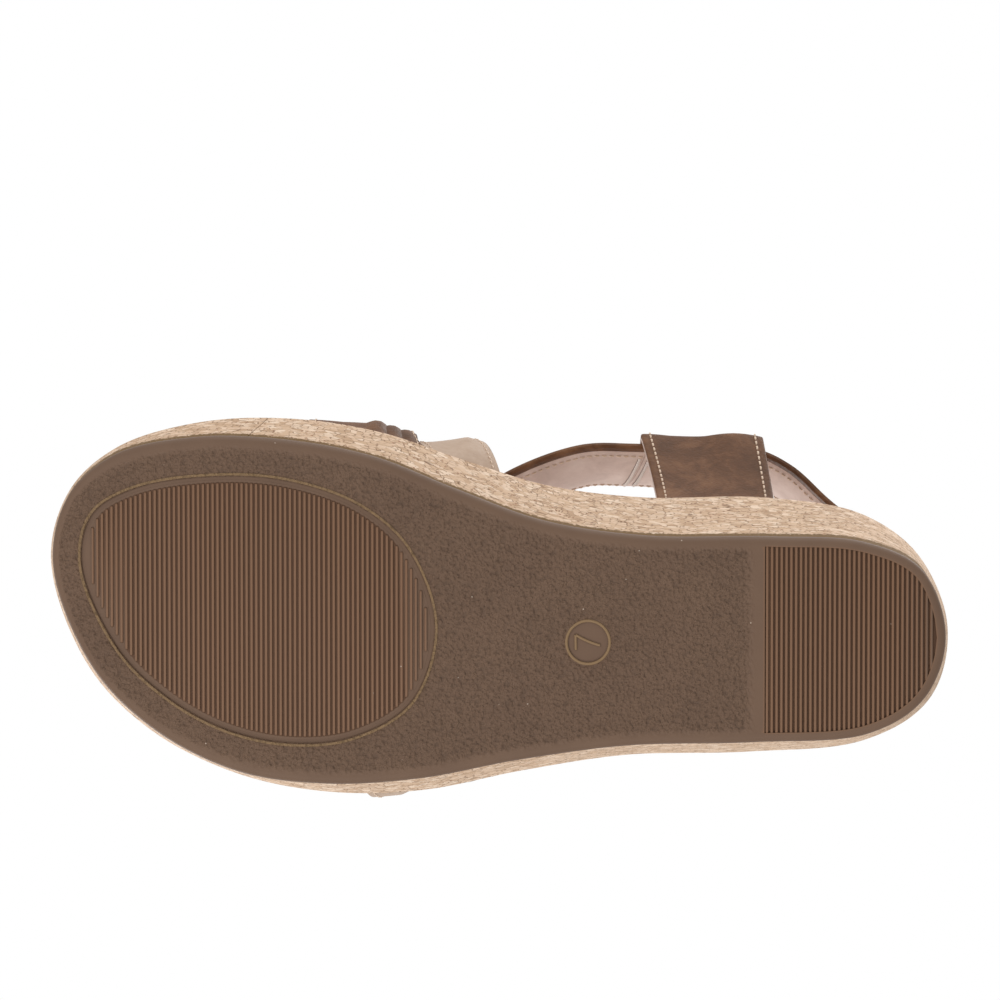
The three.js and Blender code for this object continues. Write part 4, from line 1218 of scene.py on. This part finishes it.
def band(name, start, end, steps, face_leather, face_slot, stand_off=None, body="sandal", blend=None):
    """One length of the padded band: lining, foam, face, two bindings and its rows of stitches."""
    grid = collar_grid(start, end, 0, 1, steps, 18, stand_off)
    inner = puffed(grid, EDGE_LINING, -PUFF)
    options = {"body": body, "blend": blend}
    sheet_piece(
        f"{name}_lining_sheet", inner, 0, SKIVED_LINING, lining_leather, f"{name}_lining", "lining", **options
    )
    padding = outward_faces(make(
        f"{name}_foam", sheet_skin(inner[:, 2:-2], SKIVED_LINING + 0.1, SKIVED_LINING + 0.1 + PADDING),
        sharp=60
    ))
    padding.data.materials.append(bpy.data.materials["open_cell_foam"])
    stand_for(padding, f"{name}_padding", body, blend)
    outer = puffed(grid, EDGE_FACE, PUFF / 2)
    sheet_piece(
        f"{name}_face", outer, BAND - SKIVED_FACE, BAND, face_leather, f"{name}_outer", face_slot, **options
    )
    normal = normals_of(grid)
    way_up = unit(np.gradient(grid, axis=1))
    for edge, column, direction, stuff, slot in (
        ("lower", 0, 1, brown_leather, "brown_leather"), ("upper", -1, -1, lining_leather, "lining"),
    ):
        skin = binding_skin(grid[:, column], normal[:, column], way_up[:, column], direction)
        strip = outward_faces(make(f"{name}_{edge}_binding_strip", skin, stuff, sharp=50))
        stand_for(strip, f"{name}_{edge}_binding", body, blend)
    rows = []
    for side in (-1, 1):
        line, turned = inset_line(inner, COLLAR_STITCH_INSET, -0.12, side)
        rows += stitch_skins(line, -turned, pitch=2.1, length=1.5, height=0.45)
        rows += stitch_skins(
            *inset_line(outer, COLLAR_STITCH_INSET, BAND + 0.08, side), pitch=2.1, length=1.5
        )
    stitched(f"{name}_stitching", rows, beige_thread, "lining", **options)
    return inner


SEAM_INSET = 1.3  # from the seam to each row of its stitches
SWING = ("sandal", "instep_strap", (-0.0385, 0, 0), (-0.0265, 0, 0))
heel_inner = band(
    "heel_strap", [s + END_GAP for s in SEAM], (FOLD + 0.99, FOLD + 0.99), 190, tan_leather, "tan_leather"
)
instep_inner = band(
    "instep_strap", (FOLD, FOLD), [s - END_GAP for s in SEAM], 110, brown_leather, "brown_leather", lapped,
    blend=SWING,
)

# Two rows of short stitches close the slanting seam on the lining, one on each side of it.
for name, inner, end, blend in (
    ("seam_stitching_back", heel_inner, 1, None), ("seam_stitching_front", instep_inner, -1, SWING),
):
    across_band = np.swapaxes(inner, 0, 1)[2:-2]
    run = np.linalg.norm(np.diff(across_band, axis=1), axis=2)
    turned = np.swapaxes(normals_of(inner), 0, 1)[2:-2]
    column = []
    for r, row in zip(run, across_band):
        spot = SEAM_INSET if end > 0 else r.sum() - SEAM_INSET
        column.append([np.interp(spot, np.concatenate([[0], np.cumsum(r)]), row[:, k]) for k in range(3)])
    column = np.array(column)
    facing = turned[:, 0 if end > 0 else -1]
    # Painted shade: a dark patch under each white stitch stands for the shade in its needle hole.
    holes = stitch_skins(column - facing * 0.05, -facing, pitch=1.3, length=1.3, width=1.0, height=0.3)
    stitched(f"{name}_holes", holes, stitch_hole_shade, "lining", blend=blend)
    stitched(name, stitch_skins(
        column - facing * 0.2, -facing, pitch=1.3, length=0.7, width=0.85, height=0.7
    ),
             white_thread, "lining", blend=blend)

# ---------------------------------------------------------------- side tabs
# A lined leather tab on each side rises from the footbed and is sewn to the outside of the collar. Its upper
# end is cut a little uneven, and it has a row of stitches along both edges.

MEDIAL_TAB = (1, (31.8, 18.3), (33.5, 19.9))
LATERAL_TAB = (-1, (34.8, 21.9), (36, 23))
TAB_LAP = 0.5
TAB_STAND_OFF = (-0.3, 0.9)
TAB_LINING = 0.7
TAB_THICKNESS = 1.9
TAB_STITCH_INSET = 2.5


def tab_surface(side, rim_places, collar_places, columns=26):
    share = np.linspace(0, 1, columns)
    root = np.array(strap_root(along(lerp(*rim_places, share)), side))
    places = np.interp(share, [0, 1], [collar_place(p, side) for p in collar_places])

    def on_collar(v):
        step = 0.004
        level = np.full(columns, v)
        round_way = collar_point(places + step, level) - collar_point(places - step, level)
        up_way = collar_point(places, level + 0.1) - collar_point(places, level - 0.1)
        outward = unit(np.cross(round_way, up_way))
        puff = lerp(EDGE_FACE, PUFF / 2, math.sin(math.pi * min(max(v, 0), 1)) ** 0.6)
        near_binding = 0.55 * float(1 - smoothstep(abs(v), 0.08, 0.2))
        stand_off = BAND + lerp(*TAB_STAND_OFF, share)[:, None] + puff + near_binding
        return collar_point(places, level) + outward * stand_off

    lap = np.array([on_collar(v) for v in np.linspace(-0.12, TAB_LAP, 22)])
    rise, arrive = unit(root[-1] - root[-2]), unit(lap[1] - lap[0])
    span = np.linalg.norm(lap[0] - root[-1], axis=1, keepdims=True)
    bend = []
    for t in np.linspace(0, 1, 34)[1:-1]:
        a, b = root[-1] + rise * 0.35 * span, lap[0] - arrive * 0.06 * span
        half_way = (1 - t) ** 3 * root[-1] + 3 * (1 - t) ** 2 * t * a
        bend.append(half_way + 3 * (1 - t) * t**2 * b + t**3 * lap[0])
    grid = np.concatenate([root, np.array(bend), lap])
    wave = np.sin(share * 9.2 + side) * 0.3 * smoothstep(np.arange(len(grid)), 20, 50)[:, None]
    grid = grid[:, ::-1] if side > 0 else grid
    wave = wave[:, ::-1] if side > 0 else wave
    return grid + normals_of(grid) * (wave * (wave > 0))[..., None]


for name, tab in (("medial_tab", MEDIAL_TAB), ("lateral_tab", LATERAL_TAB)):
    grid = tab_surface(*tab)
    sheet_piece(f"{name}_lining_sheet", grid, 0, TAB_LINING, lining_leather, f"{name}_lining", "lining")
    sheet_piece(
        f"{name}_leather", grid, TAB_LINING + 0.1, TAB_THICKNESS, brown_leather, f"{name}_outer",
        "brown_leather"
    )
    size = {"pitch": 2.45, "length": 1.7, "width": 0.6, "height": 0.42}
    rows = edge_rows(grid[11:-1], TAB_STITCH_INSET, TAB_THICKNESS + 0.04, **size)
    stitched(f"{name}_stitching", rows, beige_thread, "brown_leather")

# ---------------------------------------------------------------- closing flap
# The flap runs on from the front length's face over the back length's end, and holds to it with hook-and-loop
# tape: the loops are sewn to the collar and the hooks to the flap.

PEEL = ("instep_strap", "flap", (0.0002, 0, 0), (-0.007, 0, 0))
loop_foot = BAND + LAYER_GAP
hook_foot = loop_foot + TAPE + TAPE_GAP
flap_foot = hook_foot + TAPE + LAYER_GAP
# The free end's two corners are rounded.
length_share = np.linspace(0, 1, 60)[:, None]
height_share = np.linspace(0, 1, 24)[None]
round_in = 0.12 * (1 - smoothstep(length_share, 0, 0.2)) * np.abs(2 * height_share - 1) ** 3
flap_grid = collar_point(
    lerp(TAIL, FOLD - END_GAP, np.clip(length_share + round_in, 0, 1)), np.broadcast_to(
        height_share, (60, 24)
    )
)
sheet_piece(
    "closure_flap_leather", flap_grid, flap_foot, flap_foot + LEATHER, brown_leather, "closure_flap",
    "brown_leather",
    blend=PEEL,
)
rows = edge_rows(flap_grid[2:], STITCH_INSET, flap_foot + LEATHER + 0.02)
crosswise = np.swapaxes(flap_grid, 0, 1)[3:-3]
line, turned = inset_line(crosswise, 2.6, -(flap_foot + LEATHER + 0.02), -1)
rows += stitch_skins(line, -turned)
stitched("closure_flap_stitching", rows, beige_thread, "brown_leather", blend=PEEL)


def tape_finish(name, low, high):
    """Woven nylon tape whose face of hooks or loops shows as a fine furry speckle, 0.5 mm across."""
    return plain_finish(name, low, high, 0.5, 0.9, 0.25)


refinish("loop_patch", tape_finish("nylon_loop_tape", "#3f3128", "#5d4a3d"))
refinish("hook_patch", tape_finish("nylon_hook_tape", "#372b23", "#564438"))
